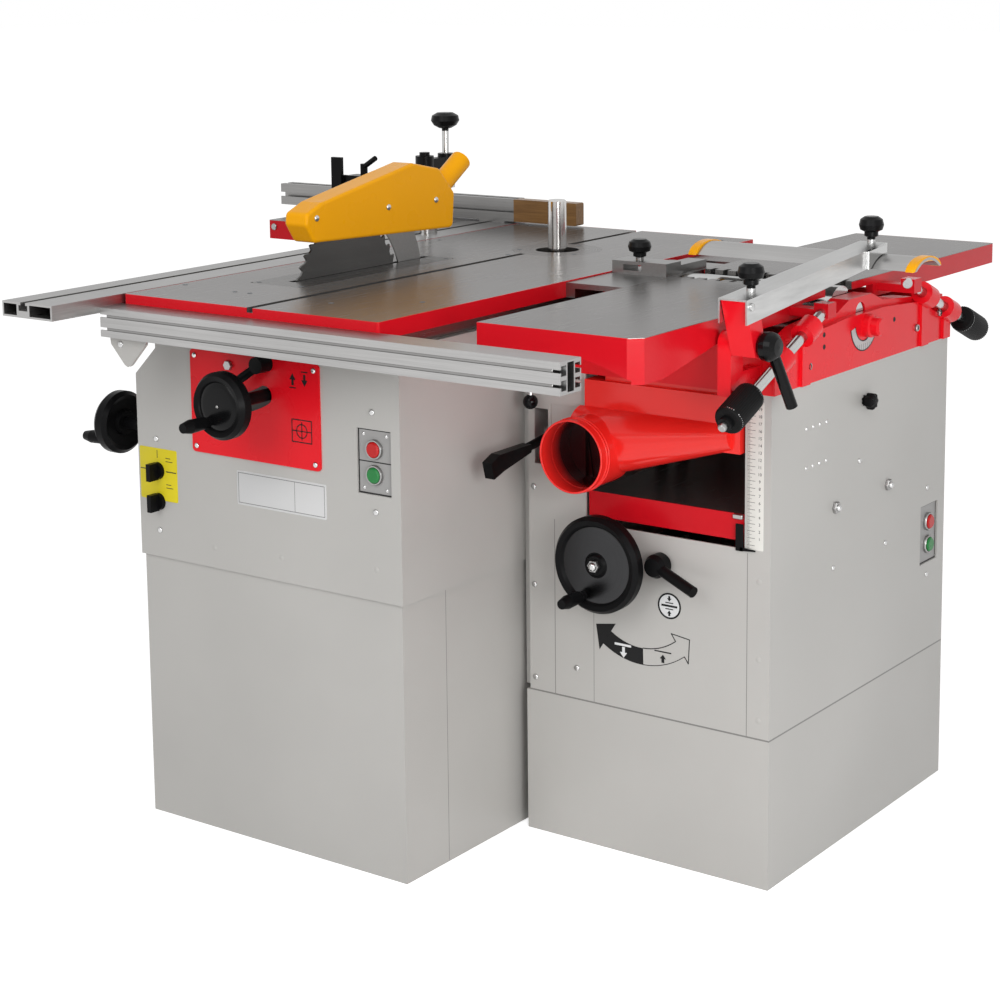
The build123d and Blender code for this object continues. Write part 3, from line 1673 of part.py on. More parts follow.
# Fence plate between the two tables, with the clamp block that a planer fence slides in
fence_plate_y = (-40.0, 250.0)
fence_plate_x = (table_x1, bed_x0 - 3)
clamp_mid = (table_x1 + 40, 100.0)
clamp_x = (table_x1 + 4, bed_x0 - 7)
with BuildPart() as fence_plate:
    block(fence_plate_x, fence_plate_y, (table_top - 10, table_top - 2))
    block((table_x1, table_x1 + 16), fence_plate_y, (table_top - rim_h, table_top - 2))
    block(clamp_x, (clamp_mid[1] - 21, clamp_mid[1] + 21), (table_top - 2, table_top + 18))
    block(
        (clamp_x[1] - 32, clamp_x[1]),
        (clamp_mid[1] + 21, clamp_mid[1] + 96),
        (table_top - 2, table_top + 12),
    )
    block(
        (clamp_mid[0] - 16, clamp_mid[0] + 16),
        (clamp_mid[1] - 23, clamp_mid[1] + 23),
        (table_top + 4, table_top + 13),
        Mode.SUBTRACT,
    )
    turned(
        (clamp_mid[0], clamp_mid[1], table_top),
        (0, 0, 1),
        [(0, 14), (6, 14), (6, 22), (10, 24), (10, 29), (16, 32), (18, 39), (16, 46), (10, 50), (0, 50)],
    )
finish(fence_plate, "fence_plate")

# Guard bracket that swings on the pivot rod, and the arm it carries
post_x = (opening_x1 + 22 + clear, opening_x1 + 22 + clear + guard_post_w)
with BuildPart() as guard_bracket:
    prism(
        side_plane(post_x[0]),
        [
            (guard_pivot_y - 15, guard_pivot_z - 14),
            (guard_pivot_y + 15, guard_pivot_z - 14),
            (guard_pivot_y - guard_lean + 17, guard_post_top - arm_wall + 35 * tan(radians(arm_rise))),
            (guard_pivot_y - guard_lean - 17, guard_post_top - arm_wall + tan(radians(arm_rise))),
        ],
        guard_post_w,
    )
    bar((post_x[0], guard_pivot_y, guard_pivot_z), (1, 0, 0), 17, guard_post_w)
    bar(
        (post_x[0], guard_pivot_y, guard_pivot_z),
        (1, 0, 0),
        guard_rod_r + run_gap,
        guard_post_w,
        Mode.SUBTRACT,
    )
finish(guard_bracket, "guard_bracket")
arm_x = (post_x[0] - arm_wall - 1, post_x[1] + arm_wall + 1)
arm_dir = (0, cos(radians(arm_rise)), sin(radians(arm_rise)))
arm_start_y = guard_pivot_y - guard_lean - 18.0
arm_z = guard_post_top
arm_end = arm_start_y + arm_l * arm_dir[1]
arm_end_z = arm_z + arm_l * arm_dir[2]
with BuildPart() as guard_arm:
    prism(
        side_plane(arm_x[0]),
        [
            (arm_start_y, arm_z - arm_h),
            (arm_start_y, arm_z),
            (arm_end, arm_end_z),
            (arm_end, arm_end_z - arm_h * 0.75),
        ],
        arm_x[1] - arm_x[0],
    )
    prism(
        side_plane(arm_x[0] + arm_wall),
        [
            (arm_start_y, arm_z - arm_h),
            (arm_start_y, arm_z - arm_wall),
            (arm_end, arm_end_z - arm_wall),
            (arm_end, arm_end_z - arm_h),
        ],
        arm_x[1] - arm_x[0] - 2 * arm_wall,
        Mode.SUBTRACT,
    )
    # clamp block and its knob at the far end, over the guard
    clamp_y = cutter_y + 2.0
    block(
        (arm_x[0] + arm_wall, arm_x[1] - arm_wall),
        (clamp_y - 24, clamp_y + 14),
        (bridge_z + bridge_h, arm_end_z - 8),
    )
    block(
        (arm_x[0] - 1, arm_x[1] + 1),
        (cutter_y - bridge_d / 2 - 6, arm_end + 1),
        (bridge_z - 20, bridge_z + bridge_h + clear),
        Mode.SUBTRACT,
    )
    for knob_y in (guard_pivot_y - guard_lean + 30, clamp_y + 8):
        base = arm_z + (knob_y - arm_start_y) * tan(radians(arm_rise)) - 2
        turned(
            ((arm_x[0] + arm_x[1]) / 2, knob_y, base),
            (0, 0, 1),
            [(0, 0), (6, 0), (6, 10), (10, 12), (10, 18), (16, 21), (18, 28), (16, 36), (10, 40), (0, 40)],
        )
finish(guard_arm, "guard_arm")

# Bridge guard: arched aluminium cover over the cutterblock
bridge_t = 4.0
with BuildPart() as bridge_guard:
    with BuildSketch(side_plane(bridge_x0)):
        with BuildLine():
            ThreePointArc(
                (cutter_y - bridge_d / 2, bridge_z),
                (cutter_y, bridge_z + bridge_h),
                (cutter_y + bridge_d / 2, bridge_z),
            )
            Line((cutter_y + bridge_d / 2, bridge_z), (cutter_y + bridge_d / 2 - 6, bridge_z))
            ThreePointArc(
                (cutter_y + bridge_d / 2 - 6, bridge_z),
                (cutter_y, bridge_z + bridge_h - bridge_t),
                (cutter_y - bridge_d / 2 + 6, bridge_z),
            )
            Line((cutter_y - bridge_d / 2 + 6, bridge_z), (cutter_y - bridge_d / 2, bridge_z))
        make_face()
    extrude(amount=bridge_l)
finish(bridge_guard, "bridge_guard")

# Clamp lever on the guard's pivot rod
lever_hub_x = post_x[1] + clear
with BuildPart() as guard_lever:
    turned(
        (lever_hub_x, guard_pivot_y, guard_pivot_z),
        (1, 0, 0),
        [(0, 0), (15, 0), (19, 5), (20, 13), (18, 21), (12, 26), (0, 27)],
    )
    bar((lever_hub_x + 14, guard_pivot_y, guard_pivot_z), (0.14, 0.38, -0.91), 8, 92)
    bar((lever_hub_x, guard_pivot_y, guard_pivot_z), (1, 0, 0), guard_rod_r + run_gap, 18, Mode.SUBTRACT)
finish(guard_lever, "guard_lever")
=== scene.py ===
"""Finishes and small trim for a combination woodworking machine: saw, spindle moulder, planer and thicknesser."""
import math

import bmesh
import bpy
import numpy as np
from mathutils import Matrix


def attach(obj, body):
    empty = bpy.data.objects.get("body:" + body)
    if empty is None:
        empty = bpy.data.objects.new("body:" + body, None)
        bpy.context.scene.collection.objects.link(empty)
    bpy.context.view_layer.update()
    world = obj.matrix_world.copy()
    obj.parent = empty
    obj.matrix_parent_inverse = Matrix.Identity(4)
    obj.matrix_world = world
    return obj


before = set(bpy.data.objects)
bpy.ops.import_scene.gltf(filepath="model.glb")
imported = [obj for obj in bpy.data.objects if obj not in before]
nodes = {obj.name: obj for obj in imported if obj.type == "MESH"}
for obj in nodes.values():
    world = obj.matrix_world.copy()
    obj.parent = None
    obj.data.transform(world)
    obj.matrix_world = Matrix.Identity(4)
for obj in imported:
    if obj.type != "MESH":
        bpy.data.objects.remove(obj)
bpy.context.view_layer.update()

scene = bpy.context.scene
mm = 0.001
sharp_angle = math.radians(35.0)

# The four ways a small part can face: its own width, its own height and the way it looks.
FRONT = np.array([[1, 0, 0], [0, 0, 1], [0, -1, 0]], float)
RIGHT = np.array([[0, 1, 0], [0, 0, 1], [1, 0, 0]], float)
LEFT = np.array([[0, -1, 0], [0, 0, 1], [-1, 0, 0]], float)
TOP = np.array([[1, 0, 0], [0, 1, 0], [0, 0, 1]], float)


# Outlines


def circle(radius, steps=32):
    """Points at equal angles on a circle: radius times cosine and sine."""
    turn = np.linspace(0, 2 * math.pi, steps, endpoint=False)
    return radius * np.stack([np.cos(turn), np.sin(turn)], axis=1)


def rounded(width, height, corner, steps=32):
    """A rectangle with round corners: a small circle pushed out to the corners by the signs of cosine and sine."""
    turn = (np.arange(steps) + 0.5) / steps * 2 * math.pi
    way = np.stack([np.cos(turn), np.sin(turn)], axis=1)
    reach = np.array([width / 2 - corner, height / 2 - corner])
    return np.sign(way) * reach + corner * way


def lobed(radius, depth, lobes, steps=72):
    """A knob's outline: the radius swells and shrinks by a cosine, once for each lobe."""
    turn = np.linspace(0, 2 * math.pi, steps, endpoint=False)
    reach = radius - depth * (0.5 - 0.5 * np.cos(lobes * turn))
    return np.stack([reach * np.cos(turn), reach * np.sin(turn)], axis=1)


def arrow(length, shaft, head, spread):
    """An arrow that points up: a shaft and a head, seven corners in turn."""
    neck = length / 2 - head
    right = [[shaft / 2, -length / 2], [shaft / 2, neck], [spread / 2, neck]]
    left = [[-spread / 2, neck], [-shaft / 2, neck]]
    return np.array([[-shaft / 2, -length / 2], *right, [0, length / 2], *left])


def turned_by(outline, degrees):
    """The outline turned about its middle."""
    angle = math.radians(degrees)
    spin = np.array([[math.cos(angle), math.sin(angle)], [-math.sin(angle), math.cos(angle)]])
    return outline @ spin


# Surfaces


def inward(outline):
    """At each corner, the unit direction that leads into the outline: the path's direction turned a quarter."""
    run = np.roll(outline, -1, axis=0) - np.roll(outline, 1, axis=0)
    normal = np.stack([-run[:, 1], run[:, 0]], axis=1)
    return normal / np.maximum(np.linalg.norm(normal, axis=1, keepdims=True), 1e-9)


def layers(outline, steps):
    """An outline carried up through (inset, height) steps: at each one it is moved inward by the inset."""
    steps = np.asarray(steps, float)
    flat = outline[None] + steps[:, 0, None, None] * inward(outline)[None]
    height = np.broadcast_to(steps[:, 1, None, None], flat.shape[:2] + (1,))
    return np.concatenate([flat, height], axis=2)


def set_at(local, facing, places):
    """The same surface at several places: place plus local coordinates along the facing's three directions."""
    places = np.atleast_2d(np.asarray(places, float))
    return places[:, None, None] + (local @ facing)[None]


def raised(outline, steps, facing, places):
    """An outline carried through its steps and set at each place."""
    return set_at(layers(outline, steps), facing, places)


def along_path(path, radii, section=None, side=(1.0, 0.0, 0.0)):
    """A section carried along a path: it lies across the path's direction, scaled by each point's radius."""
    path = np.asarray(path, float)
    radii = np.asarray(radii, float)
    section = circle(1.0, 20) if section is None else section
    run = np.gradient(path, axis=0)
    run = run / np.linalg.norm(run, axis=1, keepdims=True)
    first = np.cross(run, np.asarray(side, float))
    first = first / np.linalg.norm(first, axis=1, keepdims=True)
    second = np.cross(run, first)
    across = section[None, :, 0, None] * first[:, None] + section[None, :, 1, None] * second[:, None]
    return (path[:, None] + radii[:, None, None] * across)[None]


def arc_band(inner, outer, start, end, low, high, steps=40):
    """A flat ring sector: a rectangle, inner to outer and low to high, carried round from start to end degrees."""
    turn = np.radians(np.linspace(start, end, steps))[:, None]
    reach = np.array([inner, outer, outer, inner])[None]
    rise = np.broadcast_to(np.array([low, low, high, high])[None], (steps, 4))
    return np.stack([reach * np.cos(turn), reach * np.sin(turn), rise], axis=2)


def hoop(radius, bead, steps=64, around=14):
    """A round bead carried round a circle: the reach is the radius plus the bead's cosine, the height its sine."""
    turn = np.linspace(0, 2 * math.pi, steps, endpoint=False)[:, None]
    roll = np.linspace(0, 2 * math.pi, around, endpoint=False)[None]
    reach = radius + bead * np.cos(roll)
    rise = np.broadcast_to(bead * np.sin(roll), (steps, around))
    return np.stack([reach * np.cos(turn), reach * np.sin(turn), rise], axis=2)


def placed(name, mesh, body, material):
    """The mesh as a piece of the machine: smooth but for its sharp edges, dressed, and riding on its body."""
    mesh.shade_smooth()
    mesh.set_sharp_from_angle(angle=sharp_angle)
    mesh.materials.append(material)
    made = bpy.data.objects.new(name, mesh)
    scene.collection.objects.link(made)
    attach(made, body)
    return made


def piece(name, rings, body, material, capped=True):
    """A piece from stacks of rings (copies, rings, points, 3): each ring joins the next, and the ends are capped."""
    copies, rows, columns = rings.shape[:3]
    index = np.arange(copies * rows * columns).reshape(copies, rows, columns)
    wrap = np.concatenate([index, index[:, :, :1]], axis=2)
    corners = [wrap[:, :-1, :-1], wrap[:, :-1, 1:], wrap[:, 1:, 1:], wrap[:, 1:, :-1]]
    faces = np.stack(corners, axis=-1).reshape(-1, 4).tolist()
    if capped:
        faces += index[:, 0, ::-1].tolist() + index[:, -1].tolist()
    mesh = bpy.data.meshes.new(name)
    mesh.from_pydata((rings.reshape(-1, 3) * mm).tolist(), [], faces)
    work = bmesh.new()
    work.from_mesh(mesh)
    bmesh.ops.remove_doubles(work, verts=work.verts, dist=1e-6)
    bmesh.ops.recalc_face_normals(work, faces=work.faces)
    work.to_mesh(mesh)
    work.free()
    return placed(name, mesh, body, material)


def closed_hoop(name, local, facing, places, body, material):
    """Hoops whose last ring joins the first: the grid is closed both ways."""
    rings = set_at(np.concatenate([local, local[:1]], axis=0), facing, places)
    return piece(name, rings, body, material, capped=False)


def numbers(name, words, places, height, facing, body, material):
    """Plain scale numbers as one flat mesh: each outline is filled, laid in the facing's plane and set at its place."""
    work = bmesh.new()
    for word, place in zip(words, places):
        curve = bpy.data.curves.new(name, "FONT")
        curve.body = word
        curve.size = height * mm
        curve.align_x = "CENTER"
        curve.align_y = "CENTER"
        curve.extrude = 0.05 * mm
        holder = bpy.data.objects.new(name, curve)
        scene.collection.objects.link(holder)
        bpy.context.view_layer.update()
        flat = bpy.data.meshes.new_from_object(holder.evaluated_get(bpy.context.evaluated_depsgraph_get()))
        bpy.data.objects.remove(holder)
        bpy.data.curves.remove(curve)
        pose = np.eye(4)
        pose[:3, :3] = facing.T
        pose[:3, 3] = np.asarray(place, float) * mm
        flat.transform(Matrix(pose.tolist()))
        work.from_mesh(flat)
        bpy.data.meshes.remove(flat)
    bmesh.ops.remove_doubles(work, verts=work.verts, dist=1e-6)
    mesh = bpy.data.meshes.new(name)
    work.to_mesh(mesh)
    work.free()
    return placed(name, mesh, body, material)


# Node groups

FLOAT = "NodeSocketFloat"
VECTOR = "NodeSocketVector"


def add(tree, kind, inputs=None, **settings):
    """One node with its settings. An input is a number, a colour or another node's output."""
    made = tree.nodes.new(kind)
    for key, value in settings.items():
        setattr(made, key, value)
    for key, value in (inputs or {}).items():
        if isinstance(value, bpy.types.NodeSocket):
            tree.links.new(value, made.inputs[key])
        else:
            made.inputs[key].default_value = value
    return made


def maths(tree, operation, first, second):
    """The result of one sum on two numbers."""
    return add(tree, "ShaderNodeMath", {0: first, 1: second}, operation=operation).outputs[0]


def vectors(tree, operation, first, second):
    """The result of one sum on two vectors."""
    return add(tree, "ShaderNodeVectorMath", {0: first, 1: second}, operation=operation).outputs[0]


def ranged(tree, value, lowest, highest, low=0.0, high=1.0):
    """A value carried from one range to another."""
    ends = {"From Min": lowest, "From Max": highest, "To Min": low, "To Max": high}
    return add(tree, "ShaderNodeMapRange", {"Value": value, **ends}).outputs[0]


def group(name, inputs, outputs):
    """An empty node group with named sockets, and its two end nodes."""
    tree = bpy.data.node_groups.new(name, "ShaderNodeTree")
    for label, kind, value in inputs:
        socket = tree.interface.new_socket(label, in_out="INPUT", socket_type=kind)
        if value is not None:
            socket.default_value = value
    for label in outputs:
        tree.interface.new_socket(label, in_out="OUTPUT", socket_type=FLOAT)
    return tree, tree.nodes.new("NodeGroupInput").outputs, tree.nodes.new("NodeGroupOutput").inputs


def cloud_group():
    """A slow cloudy change between two values."""
    span = [("Low", FLOAT, 0.0), ("High", FLOAT, 1.0)]
    tree, start, end = group("cloudy_tone", [("Vector", VECTOR, None), ("Scale", FLOAT, 4.0), *span], ["Value"])
    noise = add(tree, "ShaderNodeTexNoise", {"Vector": start[0], "Scale": start[1], "Detail": 3.0})
    tree.links.new(ranged(tree, noise.outputs[0], 0.3, 0.7, start[2], start[3]), end[0])
    return tree


def pebble_group():
    """The small humps of a sprayed coat or a moulded skin."""
    tree, start, end = group("pebbled_skin", [("Vector", VECTOR, None), ("Scale", FLOAT, 900.0)], ["Height"])
    spot = {"Vector": start[0], "Scale": start[1]}
    noise = add(tree, "ShaderNodeTexNoise", {**spot, "Detail": 2.0})
    cells = add(tree, "ShaderNodeTexVoronoi", spot, feature="SMOOTH_F1")
    tree.links.new(maths(tree, "SUBTRACT", noise.outputs[0], cells.outputs[0]), end[0])
    return tree


def streak_group():
    """Fine lines left by grinding, drawing or brushing: noise stretched along the lines."""
    span = [("Low", FLOAT, 0.0), ("High", FLOAT, 1.0)]
    inputs = [("Vector", VECTOR, None), ("Stretch", VECTOR, (900.0, 12.0, 900.0)), *span]
    tree, start, end = group("drawn_lines", inputs, ["Value", "Height"])
    longer = vectors(tree, "MULTIPLY", start[0], start[1])
    grain = {"Vector": longer, "Scale": 1.0, "Detail": 3.0, "Roughness": 0.65}
    noise = add(tree, "ShaderNodeTexNoise", grain)
    tree.links.new(ranged(tree, noise.outputs[0], 0.28, 0.72, start[2], start[3]), end[0])
    tree.links.new(noise.outputs[0], end[1])
    return tree


def box_group():
    """One inside a box given by its lowest and highest corner, and nought outside it."""
    inputs = [("Vector", VECTOR, None), ("Low", VECTOR, None), ("High", VECTOR, None)]
    tree, start, end = group("inside_box", inputs, ["Mask"])
    above = vectors(tree, "SUBTRACT", start[0], start[1])
    below = vectors(tree, "SUBTRACT", start[2], start[0])
    nearest = vectors(tree, "MINIMUM", above, below)
    parts = add(tree, "ShaderNodeSeparateXYZ", {0: nearest}).outputs
    least = maths(tree, "MINIMUM", maths(tree, "MINIMUM", parts[0], parts[1]), parts[2])
    tree.links.new(maths(tree, "GREATER_THAN", least, 0.0), end[0])
    return tree


def ruled_group():
    """Ruled marks at a steady pitch: one where the distance past the last mark is less than the mark's width."""
    inputs = [("Value", FLOAT, None), ("Pitch", FLOAT, 0.01), ("Width", FLOAT, 0.001)]
    tree, start, end = group("ruled_marks", inputs, ["Mask"])
    past = maths(tree, "FLOORED_MODULO", start[0], start[1])
    tree.links.new(maths(tree, "LESS_THAN", past, start[2]), end[0])
    return tree


CLOUD = cloud_group()
PEBBLE = pebble_group()
STREAK = streak_group()
INSIDE = box_group()
RULED = ruled_group()


# Materials

RED = (0.8, 0.007, 0.016)
CAST_RED = (0.62, 0.007, 0.015)
HOOD_RED = (0.88, 0.025, 0.02)
# Painted shade inside the hood's collar.
PAINTED_SHADE_RED = (0.03, 0.002, 0.003)
GREY = (0.475, 0.465, 0.445)
BLACK = (0.005, 0.005, 0.0054)
INK = (0.03, 0.03, 0.03)
IRON = (0.25, 0.24, 0.233)


def start_material(name):
    """A new material: its tree, its surface shader and the object's own coordinates."""
    material = bpy.data.materials.new(name)
    material.use_nodes = True
    tree = material.node_tree
    place = tree.nodes.new("ShaderNodeTexCoord").outputs["Object"]
    return material, tree, tree.nodes["Principled BSDF"], place


def fill(tree, which, inputs):
    """The outputs of a placed node group with its inputs set or linked."""
    return add(tree, "ShaderNodeGroup", inputs, node_tree=which).outputs


def cloudy(tree, place, scale, low, high):
    """A slow change between two values over the object."""
    return fill(tree, CLOUD, {"Vector": place, "Scale": scale, "Low": low, "High": high})[0]


def pebbled(tree, place, scale):
    """The humps of a coat, as a height."""
    return fill(tree, PEBBLE, {"Vector": place, "Scale": scale})[0]


def streaks(tree, place, stretch, low, high):
    """Fine lines as a value between low and high, and as a height."""
    return fill(tree, STREAK, {"Vector": place, "Stretch": stretch, "Low": low, "High": high})


def within(tree, place, low, high):
    """One inside a box given in millimetres."""
    return fill(tree, INSIDE, {"Vector": place, "Low": np.array(low) * mm, "High": np.array(high) * mm})[0]


def union(tree, place, boxes):
    """One inside any of several boxes given in millimetres."""
    mask = None
    for low, high in boxes:
        inside = within(tree, place, low, high)
        mask = inside if mask is None else maths(tree, "MAXIMUM", mask, inside)
    return mask


def distance(tree, place, middle, lanes):
    """The distance to an axis through the middle: the offset with the axis's own direction left out."""
    off = vectors(tree, "SUBTRACT", place, np.array(middle) * mm)
    flat = vectors(tree, "MULTIPLY", off, lanes)
    return add(tree, "ShaderNodeVectorMath", {0: flat}, operation="LENGTH").outputs["Value"]


def times(tree, colour, value):
    """A colour made lighter or darker by a value."""
    return add(tree, "ShaderNodeVectorMath", {0: colour, 3: value}, operation="SCALE").outputs[0]


def mixed(tree, mask, first, second):
    """The first colour where the mask is nought, the second where it is one."""
    return add(tree, "ShaderNodeMix", {0: mask, 6: first, 7: second}, data_type="RGBA").outputs[2]


def blended(tree, mask, first, second):
    """The first value where the mask is nought, the second where it is one."""
    return add(tree, "ShaderNodeMix", {0: mask, 2: first, 3: second}, data_type="FLOAT").outputs[0]


def solid(colour):
    """A colour with full opacity."""
    return (*colour, 1.0)


def coat(tree, surface, shade, gloss, height, strength, depth):
    """Links the surface's colour and roughness, and turns a height into small relief on its normal."""
    tree.links.new(shade, surface.inputs["Base Color"])
    tree.links.new(gloss, surface.inputs["Roughness"])
    relief = add(tree, "ShaderNodeBump", {"Height": height, "Strength": strength, "Distance": depth * mm})
    tree.links.new(relief.outputs[0], surface.inputs["Normal"])


def shine(surface, level=None, edge=None):
    """Sets how strongly the surface mirrors, and the grey of a metal's edges."""
    if level is not None:
        surface.inputs["Specular IOR Level"].default_value = level
    if edge is not None:
        surface.inputs["Specular Tint"].default_value = (edge, edge, edge, 1.0)


def painted(name, colour, rough, pebble, depth, level=0.4, lines=(), tone=(0.95, 1.04), ink=0.45):
    """A sprayed or moulded coat: cloudy tone, pebbled skin, and dark fold lines given as thin boxes."""
    material, tree, surface, place = start_material(name)
    shade = times(tree, colour, cloudy(tree, place, 3.5, *tone))
    if lines:
        shade = mixed(tree, union(tree, place, lines), shade, solid([ink * c for c in colour]))
    worn = cloudy(tree, place, 14.0, rough - 0.05, rough + 0.05)
    coat(tree, surface, shade, worn, pebbled(tree, place, pebble), 0.35, depth)
    shine(surface, level)
    return material


def metal(name, colour, rough, stretch, depth=0.02, contrast=0.1, black=(), edge=0.7):
    """Bare metal with fine lines along one direction, which change its tone and gloss; black plastic inside boxes."""
    material, tree, surface, place = start_material(name)
    drawn = streaks(tree, place, stretch, 1.0 - contrast, 1.0 + contrast)
    tone = maths(tree, "MULTIPLY", drawn[0], cloudy(tree, place, 6.0, 0.94, 1.05))
    shade = times(tree, colour, tone)
    gloss = maths(tree, "MULTIPLY", drawn[0], rough)
    surface.inputs["Metallic"].default_value = 1.0
    if black:
        mask = union(tree, place, black)
        shade = mixed(tree, mask, shade, solid(BLACK))
        gloss = blended(tree, mask, gloss, 0.32)
        tree.links.new(maths(tree, "SUBTRACT", 1.0, mask), surface.inputs["Metallic"])
        shine(surface, 0.15)
    coat(tree, surface, shade, gloss, drawn[1], 0.2, depth)
    shine(surface, None, edge)
    return material


def ringed(name, colour, rough, middle, lanes):
    """Turned or ground work: fine rings about an axis through the middle, from noise along the distance to it."""
    material, tree, surface, place = start_material(name)
    lathe = {"W": distance(tree, place, middle, lanes), "Scale": 900.0, "Detail": 3.0}
    rings = add(tree, "ShaderNodeTexNoise", lathe, noise_dimensions="1D").outputs[0]
    tone = ranged(tree, rings, 0.3, 0.7, 0.85, 1.1)
    shade = times(tree, colour, maths(tree, "MULTIPLY", tone, cloudy(tree, place, 12.0, 0.95, 1.04)))
    coat(tree, surface, shade, maths(tree, "MULTIPLY", tone, rough), rings, 0.15, 0.02)
    surface.inputs["Metallic"].default_value = 1.0
    shine(surface, None, 0.6)
    return material


def bored_red(name, middle, radius, rim_y, deep_y):
    """Red sheet with painted shade inside a collar: it turns dark red by nearness to the collar's axis times the depth
    behind its rim.
    """
    material, tree, surface, place = start_material(name)
    # The mask of painted shade: inside the collar's bore and deeper than its rim.
    bore = maths(tree, "LESS_THAN", distance(tree, place, middle, (1.0, 0.0, 1.0)), radius * mm)
    along = add(tree, "ShaderNodeSeparateXYZ", {0: place}).outputs[1]
    mask = maths(tree, "MULTIPLY", bore, ranged(tree, along, rim_y * mm, deep_y * mm))
    lit = times(tree, HOOD_RED, cloudy(tree, place, 3.5, 0.95, 1.04))
    worn = cloudy(tree, place, 14.0, 0.13, 0.19)
    coat(tree, surface, mixed(tree, mask, lit, solid(PAINTED_SHADE_RED)), worn, pebbled(tree, place, 700.0), 0.2, 0.03)
    shine(surface, 0.36)
    return material


def ground_table(name, boxes, iron=IRON):
    """A cast table: red hammered enamel on its sides and ground bare iron inside the given boxes."""
    material, tree, surface, place = start_material(name)
    mask = union(tree, place, boxes)
    drawn = streaks(tree, place, (700.0, 9.0, 700.0), 0.93, 1.07)
    slow = cloudy(tree, place, 5.0, 0.92, 1.06)
    bare = times(tree, iron, maths(tree, "MULTIPLY", drawn[0], slow))
    shade = mixed(tree, mask, times(tree, CAST_RED, slow), bare)
    gloss = blended(tree, mask, 0.24, maths(tree, "MULTIPLY", drawn[0], 0.26))
    height = blended(tree, mask, pebbled(tree, place, 240.0), maths(tree, "MULTIPLY", drawn[1], 0.06))
    coat(tree, surface, shade, gloss, height, 0.4, 0.25)
    tree.links.new(maths(tree, "MULTIPLY", mask, 0.8), surface.inputs["Metallic"])
    shine(surface, 0.2, 0.6)
    return material


def varnished_wood(name):
    """Varnished beech: long grain from stretched noise, short dark pores, and a clear gloss over both."""
    material, tree, surface, place = start_material(name)
    grain = streaks(tree, place, (14.0, 220.0, 220.0), 0.0, 1.0)
    pores = streaks(tree, place, (160.0, 2600.0, 2600.0), 0.0, 1.0)
    shade = mixed(tree, grain[0], solid((0.15, 0.07, 0.02)), solid((0.26, 0.135, 0.044)))
    shade = times(tree, shade, ranged(tree, pores[0], 0.0, 0.35, 0.72, 1.0))
    coat(tree, surface, shade, cloudy(tree, place, 20.0, 0.28, 0.38), pores[1], 0.2, 0.03)
    shine(surface, 0.3)
    return material


def ruled_label(name, ground, axis, marks):
    """A printed scale: marks at a steady pitch along one axis, each set kept to its own strip of the label."""
    material, tree, surface, place = start_material(name)
    shade = times(tree, ground, cloudy(tree, place, 30.0, 0.97, 1.02))
    value = add(tree, "ShaderNodeSeparateXYZ", {0: place}).outputs[axis]
    for pitch, width, low, high in marks:
        tick = fill(tree, RULED, {"Value": value, "Pitch": pitch * mm, "Width": width * mm})[0]
        mask = maths(tree, "MULTIPLY", tick, within(tree, place, low, high))
        shade = mixed(tree, mask, shade, solid(INK))
    coat(tree, surface, shade, cloudy(tree, place, 30.0, 0.36, 0.44), pebbled(tree, place, 1500.0), 0.1, 0.02)
    shine(surface, 0.3)
    return material


def selector_print(name, lines):
    """The selectors' yellow plate: pointer lines beside the knobs, drawn as thin dark boxes."""
    material, tree, surface, place = start_material(name)
    shade = times(tree, (0.72, 0.6, 0.02), cloudy(tree, place, 20.0, 0.97, 1.03))
    shade = mixed(tree, union(tree, place, lines), shade, solid((0.03, 0.03, 0.02)))
    coat(tree, surface, shade, cloudy(tree, place, 40.0, 0.36, 0.44), pebbled(tree, place, 1500.0), 0.1, 0.02)
    shine(surface, 0.2)
    return material


# Printed and folded lines, and the black parts of bare metal pieces, as (lowest, highest) corners of boxes

seams = [((245, -311.6, 2), (247, -310.4, 404)), ((-247, -311.6, 2), (-245, -310.4, 404))]
fold_lines = [
    ((316.4, -143, 216), (317.6, -141, 480)),
    ((384.2, -143, 216), (385.2, -141, 482)),
    ((636, -143, 216), (637.2, -141, 478)),
    ((262, -143, 214), (680, -141, 217.5)),
    ((670, -150, 214), (673, 420, 217.5)),
]
plate_lines = [
    ((-49, -414, 511), (114, -413, 512)),
    ((-49, -414, 555), (114, -413, 556)),
    ((-49, -414, 511), (-48, -413, 556)),
    ((113, -414, 511), (114, -413, 556)),
    ((58, -414, 511), (58.8, -413, 556)),
]
switch_lines = [
    ((174, -411, 556), (234, -409.5, 558.2)),
    ((174, -411, 601), (234, -409.5, 602.8)),
    ((174, -411, 645.8), (234, -409.5, 648)),
    ((174, -411, 556), (176.2, -409.5, 648)),
    ((231.8, -411, 556), (234, -409.5, 648)),
    ((668.5, 329, 355), (670, 389, 357.2)),
    ((668.5, 329, 444.8), (670, 389, 447)),
    ((668.5, 386.8, 355), (670, 389, 447)),
]
selector_lines = [
    ((-246, -500, 536.4), (-226, -400, 538.0)),
    ((-194, -500, 536.4), (-173, -400, 538.0)),
    ((-211.6, -500, 556), (-210.2, -400, 568)),
    ((-194, -500, 512), (-180, -400, 513.2)),
    ((-194, -500, 517), (-184, -400, 518.2)),
    ((-194, -500, 552), (-180, -400, 553.2)),
    ((-194, -500, 557), (-184, -400, 558.2)),
]
arm_knobs = [((640, -225, 854.5), (704, -178, 930)), ((640, 120, 880.5), (704, 172, 960))]
fence_knob = [((270, 60, 835), (380, 140, 900))]
post_head = [((-330, 270, 905), (-200, 470, 1100))]
screw_knob = [((-330, 330, 985), (-200, 470, 1100))]
rod_ends = [((660, -300, 660), (692, -264.5, 705)), ((660, 513.5, 660), (692, 560, 705))]

# Coats: colour, roughness, pebbles, relief in millimetres, shine, lines, tone, ink

